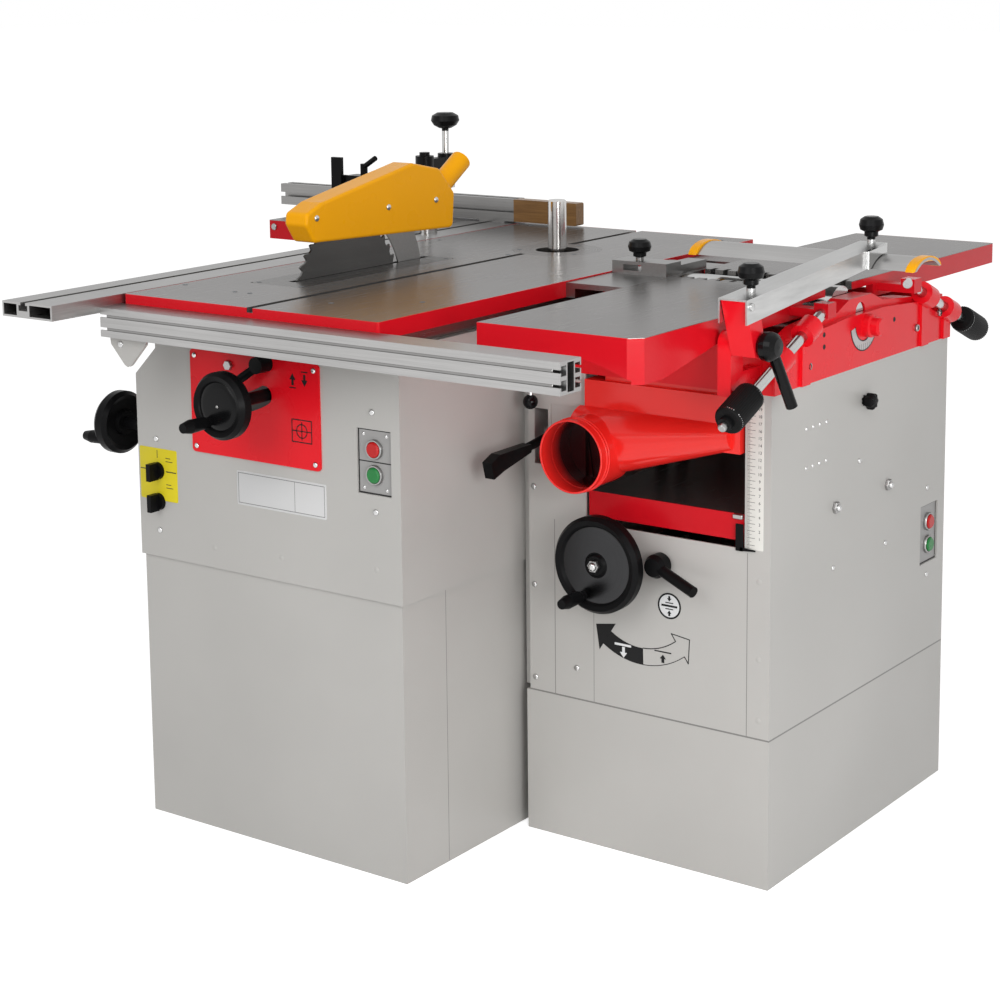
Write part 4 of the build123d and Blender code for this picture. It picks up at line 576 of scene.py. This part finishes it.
bold = (0.85, 1.15)
even = (0.98, 1.02)
cabinet_grey = painted("cabinet_grey", GREY, 0.36, 700.0, 0.06, 0.42, fold_lines)
plinth_grey = painted("plinth_grey", GREY, 0.38, 700.0, 0.06, 0.4, seams)
red_enamel = painted("red_enamel", RED, 0.24, 260.0, 0.22, 0.22)
red_sheet = painted("red_sheet", RED, 0.27, 700.0, 0.05, 0.2)
# The hood's red, with painted shade inside its collar.
hood_red = bored_red("hood_red", (400, 0, 598), 50.2, -216.0, -176.0)
black_plastic = painted("black_plastic", BLACK, 0.33, 1400.0, 0.05, 0.07, (), bold)
black_gloss = painted("black_gloss", (0.004, 0.004, 0.0044), 0.18, 1400.0, 0.02, 0.14, (), bold)
# Black ink for print, also used for painted shade in the cheek's holes.
black_ink_and_shade = painted("black_ink_and_shade", (0.012, 0.012, 0.0125), 0.45, 1200.0, 0.02, 0.15, (), (0.9, 1.1))
rubber_black = painted("rubber_black", (0.007, 0.007, 0.0072), 0.5, 1100.0, 0.08, 0.08, (), bold)
yellow_plastic = painted("yellow_plastic", (0.95, 0.415, 0.003), 0.3, 900.0, 0.06, 0.12)
white_print = painted("white_print", (0.72, 0.725, 0.73), 0.4, 1500.0, 0.02, 0.25, (), even)
plate_print = painted("plate_print", (0.62, 0.62, 0.62), 0.34, 1500.0, 0.02, 0.3, plate_lines, even, 0.3)
switch_grey = painted("switch_grey", (0.34, 0.335, 0.33), 0.36, 1200.0, 0.03, 0.3, switch_lines, (0.95, 1.05), 0.04)
red_button = painted("red_button", (0.5, 0.01, 0.01), 0.25, 1200.0, 0.02, 0.3)
green_button = painted("green_button", (0.015, 0.2, 0.045), 0.25, 1200.0, 0.02, 0.3)
motor_grey = painted("motor_grey", (0.1, 0.11, 0.12), 0.4, 500.0, 0.12)
belt_rubber = painted("belt_rubber", (0.016, 0.016, 0.016), 0.7, 800.0, 0.12, 0.2, (), (0.8, 1.2))
cast_raw = painted("cast_raw", (0.17, 0.165, 0.16), 0.5, 320.0, 0.3)
selector_yellow = selector_print("selector_yellow", selector_lines)

# Metals: colour, roughness, stretch of the lines, relief in millimetres, contrast, black boxes, edge

along_x = (8.0, 900.0, 900.0)
along_y = (900.0, 8.0, 900.0)
round_z = (40.0, 40.0, 900.0)
satin = (350.0, 350.0, 350.0)
polish = (300.0, 300.0, 300.0)
aluminium_x = metal("aluminium_along_x", (0.42, 0.415, 0.41), 0.32, along_x)
aluminium_y = metal("aluminium_along_y", (0.42, 0.415, 0.41), 0.32, along_y)
# A darker copy of the aluminium as painted shade, on the fence's shaded front and on the rail's slot strips.
alloy_painted_shade = metal("alloy_painted_shade", (0.27, 0.265, 0.26), 0.3, along_x)
arm_alloy = metal("arm_alloy", (0.56, 0.56, 0.555), 0.32, (900.0, 14.0, 120.0), 0.02, 0.1, arm_knobs)
bright_z = metal("bright_upright", (0.62, 0.605, 0.59), 0.14, round_z, 0.01, 0.06)
bright_rod = metal("bright_rod", (0.55, 0.55, 0.545), 0.15, polish, 0.01, 0.05)
hold_steel = metal("hold_steel", (0.42, 0.42, 0.415), 0.16, round_z, 0.01, 0.06, post_head)
hold_screw_steel = metal("hold_screw_steel", (0.5, 0.5, 0.49), 0.16, round_z, 0.01, 0.06, screw_knob)
steel_plain = metal("steel_plain", (0.36, 0.355, 0.35), 0.3, satin, 0.02, 0.08)
clamp_steel = metal("clamp_steel", (0.3, 0.295, 0.29), 0.3, satin, 0.02, 0.08, fence_knob)
rod_steel = metal("rod_steel", (0.55, 0.55, 0.545), 0.15, polish, 0.01, 0.05, rod_ends)
roller_steel = metal("roller_steel", (0.35, 0.35, 0.34), 0.28, (20.0, 700.0, 700.0))
insert_iron = metal("insert_iron", (0.23, 0.222, 0.217), 0.28, (700.0, 9.0, 700.0), 0.02, 0.08, (), 0.6)
blade_steel = ringed("blade_steel", (0.165, 0.162, 0.158), 0.24, (-69, -136, 772), (0.0, 1.0, 1.0))
ring_steel = ringed("ring_steel", (0.25, 0.24, 0.235), 0.27, (62, 241, 812), (1.0, 1.0, 0.0))
wheel_face = ringed("wheel_face", (0.045, 0.045, 0.0465), 0.24, (424, 0, 440), (1.0, 0.0, 1.0))
wood = varnished_wood("varnished_wood")

# Tables: the boxes in which the iron is ground bare

infeed_bare = [((300, -405.0, 811.2), (700, 100, 900)), ((378, 79.5, 780), (626, 100, 900))]
outfeed_bare = [((300, 170, 811.2), (700, 683.0, 900)), ((378, 170, 780), (626, 192.5, 900))]
outrigger_bare = [((-700, 200, 811.4), (-200, 700, 900))]
thickness_bare = [((300, -136.5, 500), (700, 407.5, 540))]
saw_top = ground_table("saw_table_iron", [((-198.5, -477.5, 700), (268.5, 519.5, 900))])
infeed_top = ground_table("infeed_iron", infeed_bare)
outfeed_top = ground_table("outfeed_iron", outfeed_bare)
outrigger_top = ground_table("outrigger_iron", outrigger_bare, (0.27, 0.26, 0.255))
thickness_top = ground_table("thickness_iron", thickness_bare, (0.17, 0.165, 0.16))


def dress(material, *names):
    """Gives the named nodes one finish in every material slot."""
    for name in names:
        data = nodes[name].data
        if not data.materials:
            data.materials.append(material)
        for number in range(len(data.materials)):
            data.materials[number] = material


dress(plinth_grey, "plinths")
dress(cabinet_grey, "saw_cabinet", "planer_cabinet")
dress(saw_top, "saw_table")
dress(insert_iron, "table_insert")
dress(ring_steel, "spindle_ring")
dress(aluminium_x, "front_rail", "bridge_guard")
# The fence in the darker alloy: painted shade on its front.
dress(alloy_painted_shade, "crosscut_fence")
dress(aluminium_y, "sliding_carriage", "carriage_guide")
dress(arm_alloy, "guard_arm")
dress(red_sheet, "tilt_panel")
dress(hood_red, "dust_hood")
dress(red_enamel, "planer_body", "guard_bracket")
dress(outrigger_top, "outrigger_table")
dress(infeed_top, "infeed_table")
dress(outfeed_top, "outfeed_table")
dress(thickness_top, "thickness_table")
dress(wood, "fence_tip")
dress(black_plastic, "flip_stop", "stop_carrier", "tilt_lock_lever", "thickness_lock_lever", "feed_lever")
dress(black_plastic, "rise_handwheel", "tilt_handwheel", "spindle_handwheel", "thickness_handwheel")
dress(black_plastic, "speed_selector", "mode_selector")
dress(black_gloss, "guard_lever")
dress(yellow_plastic, "blade_guard")
dress(blade_steel, "saw_blade")
dress(steel_plain, "riving_knife", "saw_arbor", "saw_motor_pulley", "planer_motor_pulley")
dress(clamp_steel, "fence_plate")
dress(switch_grey, "switch_plates")
dress(bright_z, "spindle")
dress(hold_screw_steel, "hold_down_screw")
dress(hold_steel, "hold_down_post")
dress(rod_steel, "infeed_rods", "outfeed_rods")
dress(bright_rod, "cutterblock")
dress(roller_steel, "infeed_roller", "outfeed_roller")
dress(cast_raw, "tilt_cradle", "saw_carriage", "spindle_quill")
dress(motor_grey, "saw_motor", "planer_motor")
dress(belt_rubber, "saw_belt", "planer_belt")
dress(red_button, "saw_stop_button", "planer_stop_button")
dress(green_button, "saw_start_button", "planer_start_button")


# Trim: where the machine's faces lie, and the (inset, height) steps of small parts

saw_front = -413.0
panel_front = -416.0
switch_front = -410.0
planer_front = -142.0
planer_wall = 672.0
switch_wall = 669.0
table_top = 812.0
bridge_end = 766.0

nut = [(0.0, 0.0), (0.0, 4.5), (0.8, 5.5)]
dome = [(0.0, 4.8), (0.2, 6.6), (1.0, 8.6), (2.4, 9.8), (3.6, 10.2)]
pan_head = [(0.0, 0.0), (0.0, 0.8), (0.5, 1.7), (1.6, 2.4), (2.8, 2.6)]
dimple = [(0.0, 0.0), (1.5, 0.5), (3.5, 0.7)]
thin_plate = [(0.0, 0.0), (0.0, 0.35), (0.25, 0.5)]
thin_ink = [(0, 0), (0, 0.3)]
over_ink = [(0, 0.25), (0, 0.45)]
bezel = [(0.0, 0.0), (0.0, 4.0), (0.7, 5.0), (2.2, 5.0), (2.4, 3.5), (2.4, 0.5)]
plate_screw = [(0.0, 0.0), (0.0, 0.5), (0.8, 1.2), (1.8, 1.4)]
flush = [(0.0, 0.05), (0.3, 0.3), (1.2, 0.35), (1.4, 0.1)]
hub_cap = [(0.0, 0.0), (0.0, 1.0), (0.8, 2.0), (3.5, 2.6), (7.0, 2.8)]
thick_plate = [(0.6, 0.0), (0.0, 0.6), (0.0, 5.4), (0.6, 6.0)]


def screws(name, radius, facing, places, body="stand"):
    """Bright pan-head screws."""
    piece(name, raised(circle(radius, 20), pan_head, facing, places), body, bright_rod)


def steel_part(name, outline, steps, facing, places, body="stand", material=steel_plain):
    """Small steel parts: one outline raised at each place."""
    piece(name, raised(outline, steps, facing, places), body, material)


def black_part(name, outline, steps, facing, place, body, material=black_plastic):
    """A small black part."""
    piece(name, raised(outline, steps, facing, place), body, material)


def inked(name, *prints):
    """Black print on the stand, and black discs of painted shade in holes, from sets of rings of one shape."""
    piece(name, np.concatenate(prints), "stand", black_ink_and_shade)


def bar(width, height, corner, steps, places):
    """A printed bar on a front face."""
    return raised(rounded(width, height, corner, 16), steps, FRONT, places)


def arc(inner, outer, start, end, facing, place, high=0.3, steps=40):
    """A printed ring sector."""
    return set_at(arc_band(inner, outer, start, end, 0.0, high, steps), facing, place)


def strokes(corners, width):
    """Straight ink lines from corner to corner: a thin bar for each stretch, turned to its slope."""
    corners = np.asarray(corners, float)
    lines = []
    for start, end in zip(corners[:-1], corners[1:]):
        across, up = end - start
        line = rounded(float(np.hypot(across, up)) + width, width, width / 3, 16)
        middle = (start + end) / 2
        sloped = turned_by(line, math.degrees(math.atan2(up, across)))
        lines.append(raised(sloped, thin_ink, FRONT, (middle[0], planer_front, middle[1])))
    return np.concatenate(lines)


# Saw cabinet: screws, plates, the tilt panel's signs and the switch

saw_screws = [(202, saw_front, 672), (206, saw_front, 532), (-212, saw_front, 585), (-210, saw_front, 446)]
screws("saw_cabinet_screws", 4.5, FRONT, saw_screws)
saw_dimples = [(-100, saw_front, 436), (30, saw_front, 440), (205, saw_front, 450)]
dimples = saw_dimples + [(655, planer_front, z) for z in (243, 330, 440)]
piece("sheet_dimples", raised(circle(4.5, 20), dimple, FRONT, dimples), "stand", cabinet_grey)
flange_screws = [(281, 524), (281, 377), (282, 236), (355, 263)]
screws("flange_screws", 4.5, FRONT, [(x, planer_front, z) for x, z in flange_screws])

selector = raised(rounded(76, 79, 3), thin_plate, FRONT, (-209, saw_front, 531.5))
piece("selector_plate", selector, "stand", selector_yellow)
bare = raised(rounded(169, 51, 3), thin_plate, FRONT, (32.5, saw_front, 533.5))
piece("bare_plate", bare, "stand", plate_print)

screws("panel_screws", 4.0, FRONT, [(x, panel_front, z) for z in (586, 720) for x in (-126, 101)])
steel_part("panel_bolt", circle(7.5, 6), nut, FRONT, (-58, panel_front, 712))
inked(
    "panel_marks",
    arc(9, 10.4, 0, 359, FRONT, (77, panel_front, 631)),
    arc(14, 16, 30, 150, FRONT, (-104, panel_front, 664)),
)
inked(
    "panel_bars",
    bar(36, 1.5, 0.5, thin_ink, [(77, panel_front, z) for z in (647, 615, 631)]),
    bar(1.5, 33, 0.5, thin_ink, [(59, panel_front, 631), (95, panel_front, 631)]),
    bar(1.5, 26, 0.5, thin_ink, (77, panel_front, 631)),
    bar(12, 1.6, 0.5, thin_ink, [(62, panel_front, 692), (84, panel_front, 716)]),
)
inked(
    "panel_arrow_tips",
    raised(arrow(17, 4, 9, 11), thin_ink, FRONT, (62, panel_front, 704)),
    raised(turned_by(arrow(17, 4, 9, 11), 180), thin_ink, FRONT, (84, panel_front, 704)),
    raised(turned_by(arrow(8, 1.6, 6, 7), 145), thin_ink, FRONT, (-117, panel_front, 674)),
)

steel_part("saw_button_bezels", circle(14.0, 40), bezel, FRONT, [(204, switch_front, z) for z in (620, 584)])
steel_part("planer_button_bezels", circle(14.0, 40), bezel, RIGHT, [(switch_wall, 359, z) for z in (419, 383)])
switch_screws = [(x, switch_front, z) for z in (640, 564) for x in (184, 224)]
steel_part("switch_screws", circle(2.6, 16), plate_screw, FRONT, switch_screws, "stand", bright_rod)

# Planer cabinet: the thickness scale, the handwheel's arrow, the lock's sign and the wall's screws

scale_ticks = [
    (10.0, 0.6, (636, -150, 484), (648, -140, 692)),
    (5.0, 0.4, (636, -150, 484), (643, -140, 692)),
    (1.0, 0.25, (636, -150, 484), (640, -140, 692)),
]
scale_print = ruled_label("thickness_scale_print", (0.7, 0.69, 0.65), 2, scale_ticks)
scale_strip = raised(rounded(25, 206, 1.5), thin_plate, FRONT, (648.5, planer_front, 587))
piece("thickness_scale", scale_strip, "stand", scale_print)
scale_values = range(1, 20)
scale_places = [(655, planer_front - 0.55, 490 + 10 * value) for value in scale_values]
scale_words = [str(value) for value in scale_values]
numbers("thickness_numbers", scale_words, scale_places, 6.0, FRONT, "stand", black_ink_and_shade)

arrow_middle = (466, planer_front, 405)
dark_head = np.array([[388.7, 335.4], [394.6, 298.3], [422.4, 341.2]]) - (arrow_middle[0], arrow_middle[2])
pale_head = [(522, 333.0), (515.2, 342.8), (545, 338.9), (543.2, 303.9), (537.2, 312.6)]
down_arrow = turned_by(arrow(16, 4.6, 8, 12), 180)
inked("arrow_dark_half", arc(92, 116.5, -124, -88.6, FRONT, arrow_middle))
inked("arrow_dark_head", raised(dark_head, thin_ink, FRONT, arrow_middle))
inked(
    "arrow_outline",
    arc(91, 92.3, -88.6, -52, FRONT, arrow_middle),
    arc(115.6, 116.6, -88.6, -52.4, FRONT, arrow_middle),
)
inked("arrow_pale_head", strokes(pale_head, 1.3))
down_sign = raised(down_arrow, over_ink, FRONT, (435.6, planer_front, 301))
piece("arrow_pale_sign", down_sign, "stand", white_print)
pale_bar = bar(28, 3.4, 0.6, over_ink, (434.5, planer_front, 312))
piece("arrow_pale_bar", pale_bar, "stand", white_print)
inked("arrow_dark_sign", raised(arrow(12, 4.6, 6, 10), thin_ink, FRONT, (501.4, planer_front, 303.5)))
inked("arrow_dark_bar", bar(28, 1.8, 0.6, thin_ink, (501.4, planer_front, 313.6)))

lock_mark = (512, planer_front, 382.5)
lock_ground = raised(circle(17, 48), [(0, 0), (0, 0.2)], FRONT, lock_mark)
piece("lock_mark_ground", lock_ground, "stand", white_print)
inked("lock_mark_ring", arc(16.4, 19, 0, 359.9, FRONT, lock_mark, 0.4, 60))
inked(
    "lock_mark_bars",
    bar(26, 3.0, 0.6, over_ink, lock_mark),
    bar(13, 1.5, 0.5, over_ink, [(512, planer_front, 387), (512, planer_front, 378)]),
)
lock_arrow = arrow(8, 3, 4.5, 7)
inked(
    "lock_mark_arrows",
    raised(turned_by(lock_arrow, 180), over_ink, FRONT, (512, planer_front, 393)),
    raised(lock_arrow, over_ink, FRONT, (512, planer_front, 372)),
)

wall_dots = [(planer_wall, y, z) for z in (637, 581.5) for y in (-42, -22.5, -3, 17)]
dot = [(0, 0), (0.5, 0.8), (1.5, 1.2)]
steel_part("wall_dots", circle(2.8, 16), dot, RIGHT, wall_dots, "stand", bright_rod)
wall_bolts = [(planer_wall, 45.5, 507.5), (planer_wall, 212, 507)]
steel_part("wall_bolts", circle(9.0, 6), nut, RIGHT, wall_bolts)
steel_part("wall_bolt_ends", circle(5.0, 20), dome, RIGHT, wall_bolts, "stand", bright_rod)
wall_spots = [(119.5, 561), (41, 420), (208, 419), (349, 474.5), (352.5, 336.5)]
screws("wall_screws", 4.0, RIGHT, [(planer_wall, y, z) for y, z in wall_spots])
knob_rise = [(5, 0), (5, 5), (0.8, 6), (0.0, 8), (0.0, 15), (1.2, 17.5), (4.0, 18.5)]
black_part("wall_knob", lobed(12.5, 2.2, 7), knob_rise, RIGHT, (planer_wall, 131.5, 648), "stand")

# The small ball lever on the planer front

lever_path = [(291, -142, 692), (291, -150, 690), (291, -158, 684), (291, -162, 674), (291, -163, 664)]
piece("ball_lever_stem", along_path(lever_path, [4, 4, 4, 4, 4]), "stand", bright_rod)
ball_r = 11
ball_turn = np.radians(np.linspace(-80, 80, 15))
ball_rise = np.stack([ball_r - ball_r * np.cos(ball_turn), ball_r * np.sin(ball_turn)], axis=1)
black_part("ball_lever_knob", circle(ball_r, 28), ball_rise, TOP, (291, -163, 654), "stand", black_gloss)

# Scale on the planer's red cheek, black discs of painted shade for the casting's holes, and the casting's screws

cheek_middle = (planer_wall, 128, 764)
cheek_marks = [(6.0, 0.9, (660, 60, 720), (690, 180, 732))]
cheek_scale = ruled_label("cheek_scale_print", (0.5, 0.5, 0.5), 1, cheek_marks)
piece("cheek_scale", arc(28, 42, -168, -20, RIGHT, cheek_middle, 0.4), "stand", cheek_scale)
inked(
    "cheek_scale_lines",
    arc(27.2, 28.8, -170, -18, RIGHT, cheek_middle, 0.6),
    arc(41.2, 42.8, -170, -18, RIGHT, cheek_middle, 0.6),
)
# The casting's holes as black discs: painted shade.
cheek_hole_shade = [(planer_wall, 6, 762), (planer_wall, 6.5, 745), (planer_wall, 226, 753)]
inked("cheek_hole_shade", raised(circle(3.8, 20), [(0, 0), (0.6, 0.5), (1.4, 0.1)], RIGHT, cheek_hole_shade))
cheek_spots = [(-110, 742), (-40, 725), (300, 730), (380, 742)]
socket_head = [(0, 0), (0, 3.0), (0.8, 4.0), (2.4, 4.0), (2.6, 1.8)]
steel_part("cheek_screws", circle(5.5, 20), socket_head, RIGHT, [(planer_wall, y, z) for y, z in cheek_spots])

# Screws in the saw table, its insert and the spindle ring; the outrigger's bolt and the plate between the tables

table_spots = [(-187, -367), (-76, -380), (-48, -379), (110, -386), (213, -311)]
table_spots += [(-178, 239), (28, 150), (-160, 480), (230, 480)]
insert_spots = [(x, y) for y in (-290, 60) for x in (-110, -28)]
ring_turn = np.radians(np.array([90, 210, 330]))
ring_spots = np.stack([62 + 62 * np.cos(ring_turn), 241 + 62 * np.sin(ring_turn)], axis=1)
flush_spots = np.concatenate([table_spots, insert_spots, ring_spots])
flush_places = np.column_stack([flush_spots, np.full(len(flush_spots), table_top)])
steel_part("table_screws", circle(4.2, 20), flush, TOP, flush_places, "stand", motor_grey)
bolt_head = [(0.0, 0.0), (0.0, 2.0), (1.2, 3.2)]
steel_part("outrigger_bolt", circle(6.0, 24), bolt_head, FRONT, (-612, 307, 800), "carriage")
link = raised(rounded(103, 132, 4, 32), thick_plate, TOP, (321.5, 364, 800))
piece("link_plate", link, "stand", insert_iron)

# Front rail: gusset plate under its left end, and cover strips in its slots, in the darker alloy as painted shade in
# the slots

gusset = np.array([[36, 20], [34, 12], [4, -20], [-2, -23], [-8, -20], [-34, 8], [-36, 20]], float)
gusset_steps = [(0.8, 0.0), (0.0, 0.8), (0.0, 4.2), (0.8, 5.0)]
gusset_plate = raised(gusset, gusset_steps, FRONT, (-163, -506, 736.5))
piece("rail_gusset", gusset_plate, "stand", cabinet_grey)
screws("gusset_bolt", 5.0, FRONT, (-178, -511, 745))
strip_steps = [(0.3, 0.0), (0.0, 0.3), (0.0, 1.4), (0.4, 1.8)]
strip_places = [(194, -522.4, 786.24), (194, -522.4, 767.76)]
strips = raised(rounded(770, 3.7, 0.5, 24), strip_steps, FRONT, strip_places)
piece("rail_slot_strips", strips, "stand", alloy_painted_shade)

# Hood: two raised neck beads and a rolled rim

neck_places = [(400, -203, 598), (400, -209, 598)]
closed_hoop("hood_neck_beads", hoop(52.0, 1.6), FRONT, neck_places, "stand", hood_red)
closed_hoop("hood_rim", hoop(51.0, 1.6), FRONT, (400, -221.5, 598), "stand", hood_red)

# Handwheels: hubs and faces

hub_place = (424, -199, 440)
steel_part("thickness_hub_nut", circle(9.5, 6), nut, FRONT, hub_place, "thickness_wheel")
steel_part("thickness_hub_dome", circle(6.5, 28), dome, FRONT, hub_place, "thickness_wheel", bright_rod)
face_place = (424, -202, 440)
face_ring = arc_band(18.5, 56, 0, 360, -10.0, -6.6, 65)[:-1]
closed_hoop("thickness_wheel_face", face_ring, FRONT, face_place, "thickness_wheel", wheel_face)
rise_place = (8, -515, 675)
dish = [(0.0, -9.5), (0.0, -4.4), (1.5, -3.2), (8.0, -2.6), (20.0, -2.3), (28.0, -2.2)]
black_part("rise_wheel_face", circle(34.5, 64), dish, FRONT, rise_place, "rise_wheel", black_gloss)
rise_dot = [(0, -2.4), (0, -1.4), (0.8, -0.9)]
steel_part("rise_wheel_dot", circle(2.2, 16), rise_dot, FRONT, rise_place, "rise_wheel")
black_part("tilt_hub_cap", circle(10.0, 28), hub_cap, LEFT, (-335, -375, 591), "tilt_wheel", black_gloss)
black_part("spindle_hub_cap", circle(10.0, 28), hub_cap, LEFT, (-335, 290.3, 640), "spindle_wheel", black_gloss)

# Guards: the bridge's end caps, the arm's clip, bolt and pivot stub, and the saw guard's screws

cap_turn = np.linspace(0, math.pi, 21)
cap_arch = np.stack([np.cos(cap_turn), np.sin(cap_turn)], axis=1)
cap_line = np.concatenate([cap_arch * (44.5, 18.2), (cap_arch * (37.5, 10.8))[::-1]])
cap_steps = [(1.2, -1.0), (0.0, 0.0), (0.0, 12.0), (1.2, 13.2)]
cap_places = [(401, 136, 845.5), (bridge_end - 13.4, 136, 845.5)]
end_caps = raised(cap_line, cap_steps, RIGHT, cap_places)
piece("bridge_end_caps", end_caps, "bridge", yellow_plastic)
clip_under = [(84, 846.5), (92.5, 846.5), (98, 850.8), (106, 855.8), (116, 860.1), (128, 862.9), (140, 863.6)]
clip_line = np.array(clip_under + [(140, 875.6), (84, 871.4)], float) - (112, 860)
steel_part("guard_clip", clip_line, thick_plate, RIGHT, (693.6, 112, 860), "guard", bright_rod)
arm_bolt = [(0, 0), (0.4, 2.6), (2.2, 3.8)]
steel_part("arm_bolts", circle(5.5, 20), arm_bolt, RIGHT, (693.8, -238, 836), "guard", bright_rod)
stub = [(0.0, 0.0), (0.0, 17.0), (1.2, 18.4)]
steel_part("pivot_stub", circle(8.0, 28), stub, LEFT, (652, -205, 780), "guard", bright_rod)
screws("blade_guard_screws", 5.0, RIGHT, [(-47, y, 905) for y in (-230, -60, 60)], "rise")

# Ribbed sleeves and bare tips on the way rods' twist grips: rod's top end, distance down to the grip, and its way

way_x = 676.0
way_top = 798.0
way_lean = math.radians(22.4)
sleeve_along = np.array([-0.4, 1.2, 3.0, 6.0, 60.0, 63.0, 65.4, 66.4])
sleeve_reach = [17.0, 19.2, 20.2, 20.5, 20.5, 20.2, 19.0, 17.4]
tip_along = np.array([75.0, 81.0, 83.0, 84.0])
tip_reach = [6.0, 6.0, 5.6, 4.4]


def down_rod(along, top_y, way):
    """Points on a way rod: the distance along it, leaning down from the rod's top end."""
    run = way * math.cos(way_lean) * along
    return np.stack([np.full(len(along), way_x), top_y + run, way_top - math.sin(way_lean) * along], axis=1)


for side, top_y, down, way in (("infeed", 0.0, 222.0, -1.0), ("outfeed", 272.0, 196.0, 1.0)):
    sleeve = along_path(down_rod(down + sleeve_along, top_y, way), sleeve_reach, lobed(1.0, 0.025, 40, 240))
    piece(side + "_grip_sleeve", sleeve, side, rubber_black)
    tip = along_path(down_rod(down + tip_along, top_y, way), tip_reach)
    piece(side + "_rod_tip", tip, side, steel_plain)

# Thickness table: silver corner piece and the scale's pointer

corner_steps = [(0, 0), (0, 4.2), (0.8, 5.0)]
steel_part("table_corner_piece", rounded(15, 6.4, 1.5, 24), corner_steps, FRONT, (620.6, -138, 526.8), "thickness")
bracket = [(0.4, 0.0), (0.0, 0.4), (0.0, 1.6), (0.4, 2.0)]
black_part("pointer_bracket", rounded(12, 38, 1.5, 24), bracket, FRONT, (625, -143, 499), "thickness")
wedge = np.array([[-12.0, -2.8], [12.0, -0.8], [12.0, 0.8], [-12.0, 2.8]])
black_part("scale_pointer", wedge, [(0, 0), (0, 1.4)], FRONT, (638, -143.6, 483), "thickness")


# Floor, light and camera

WHITE = (1.0, 1.0, 1.0, 1.0)
floor_grey = (0.75, 0.75, 0.75, 1.0)
floor_glow = 0.7
floor_half = 30.0
floor_z = -0.0005
sky_light = 0.48
sky_white = 1.0


def seen_rays(tree):
    """One for the camera's rays and for mirrored and refracted ones, nought for the rest."""
    ray = tree.nodes.new("ShaderNodeLightPath").outputs
    seen = maths(tree, "MAXIMUM", ray["Is Camera Ray"], ray["Is Glossy Ray"])
    return maths(tree, "MAXIMUM", seen, ray["Is Transmission Ray"])


def chosen(tree, first, second):
    """The second shader for rays that are seen, the first for the rest."""
    return add(tree, "ShaderNodeMixShader", {0: seen_rays(tree), 1: first, 2: second}).outputs[0]


def floor_material():
    """A pale floor: white to the camera, with the machine's soft shadow kept from its diffuse part."""
    material = bpy.data.materials.new("pale_floor")
    material.use_nodes = True
    tree = material.node_tree
    tree.nodes.remove(tree.nodes["Principled BSDF"])
    diffuse = add(tree, "ShaderNodeBsdfDiffuse", {"Color": floor_grey}).outputs[0]
    glow = add(tree, "ShaderNodeEmission", {"Color": WHITE, "Strength": floor_glow}).outputs[0]
    lit = add(tree, "ShaderNodeAddShader", {0: diffuse, 1: glow}).outputs[0]
    tree.links.new(chosen(tree, diffuse, lit), tree.nodes["Material Output"].inputs[0])
    return material


floor_mesh = bpy.data.meshes.new("floor")
floor_corners = [(x * floor_half, y * floor_half, floor_z) for x, y in ((-1, -1), (1, -1), (1, 1), (-1, 1))]
floor_mesh.from_pydata(floor_corners, [], [(0, 1, 2, 3)])
floor_mesh.materials.append(floor_material())
floor = bpy.data.objects.new("floor", floor_mesh)
scene.collection.objects.link(floor)

world = bpy.data.worlds.new("studio")
scene.world = world
world.use_nodes = True
sky = world.node_tree
for old in list(sky.nodes):
    sky.nodes.remove(old)
soft = add(sky, "ShaderNodeBackground", {"Color": WHITE, "Strength": sky_light}).outputs[0]
white = add(sky, "ShaderNodeBackground", {"Color": WHITE, "Strength": sky_white}).outputs[0]
add(sky, "ShaderNodeOutputWorld", {0: chosen(sky, soft, white)})


def looking(side, up, look, place):
    """A pose for a lamp or a camera: its three directions and its place as a matrix's columns."""
    pose = np.eye(4)
    pose[:3, 0], pose[:3, 1], pose[:3, 2], pose[:3, 3] = side, up, -look, place
    return Matrix(pose.tolist())


def lamp(name, place, target, width, power):
    """A soft square lamp at a place, turned to look at a target."""
    data = bpy.data.lights.new(name, "AREA")
    data.shape = "SQUARE"
    data.size = width
    data.energy = power
    made = bpy.data.objects.new(name, data)
    scene.collection.objects.link(made)
    look = np.asarray(target, float) - np.asarray(place, float)
    look = look / np.linalg.norm(look)
    side = np.cross(look, [0.0, 0.0, 1.0])
    side = side / np.linalg.norm(side)
    made.matrix_world = looking(side, np.cross(side, look), look, place)


lamp("key_lamp", (0.3, -4.0, 2.8), (0.2, 0.0, 0.5), 2.6, 52.0)
lamp("corner_lamp", (2.0, -1.3, 0.9), (0.25, -0.28, 0.5), 0.8, 17.0)
lamp("side_lamp", (2.6, -2.6, 3.2), (0.4, 0.0, 0.6), 2.4, 26.0)

# The photo's camera: its turn, dip and lean in radians, its place in metres, and its focal length in picture widths
yaw, pitch, roll = 0.62837, 0.15547, -0.01057
camera_place = (2.0810, -2.6982, 1.2886)
focal_widths = 2.2039
film = 36.0
forward = np.array([-math.sin(yaw) * math.cos(pitch), math.cos(yaw) * math.cos(pitch), -math.sin(pitch)])
level = np.array([math.cos(yaw), math.sin(yaw), 0.0])
upward = np.cross(level, forward)
across = math.cos(roll) * level + math.sin(roll) * upward
upright = -math.sin(roll) * level + math.cos(roll) * upward
camera_data = bpy.data.cameras.new("camera")
camera_data.sensor_width = film
camera_data.lens = focal_widths * film
camera_data.shift_y = -0.2
camera_data.clip_end = 100.0
camera = bpy.data.objects.new("camera", camera_data)
scene.collection.objects.link(camera)
camera.matrix_world = looking(across, upright, forward, camera_place)
scene.camera = camera
scene.view_settings.view_transform = "Standard"
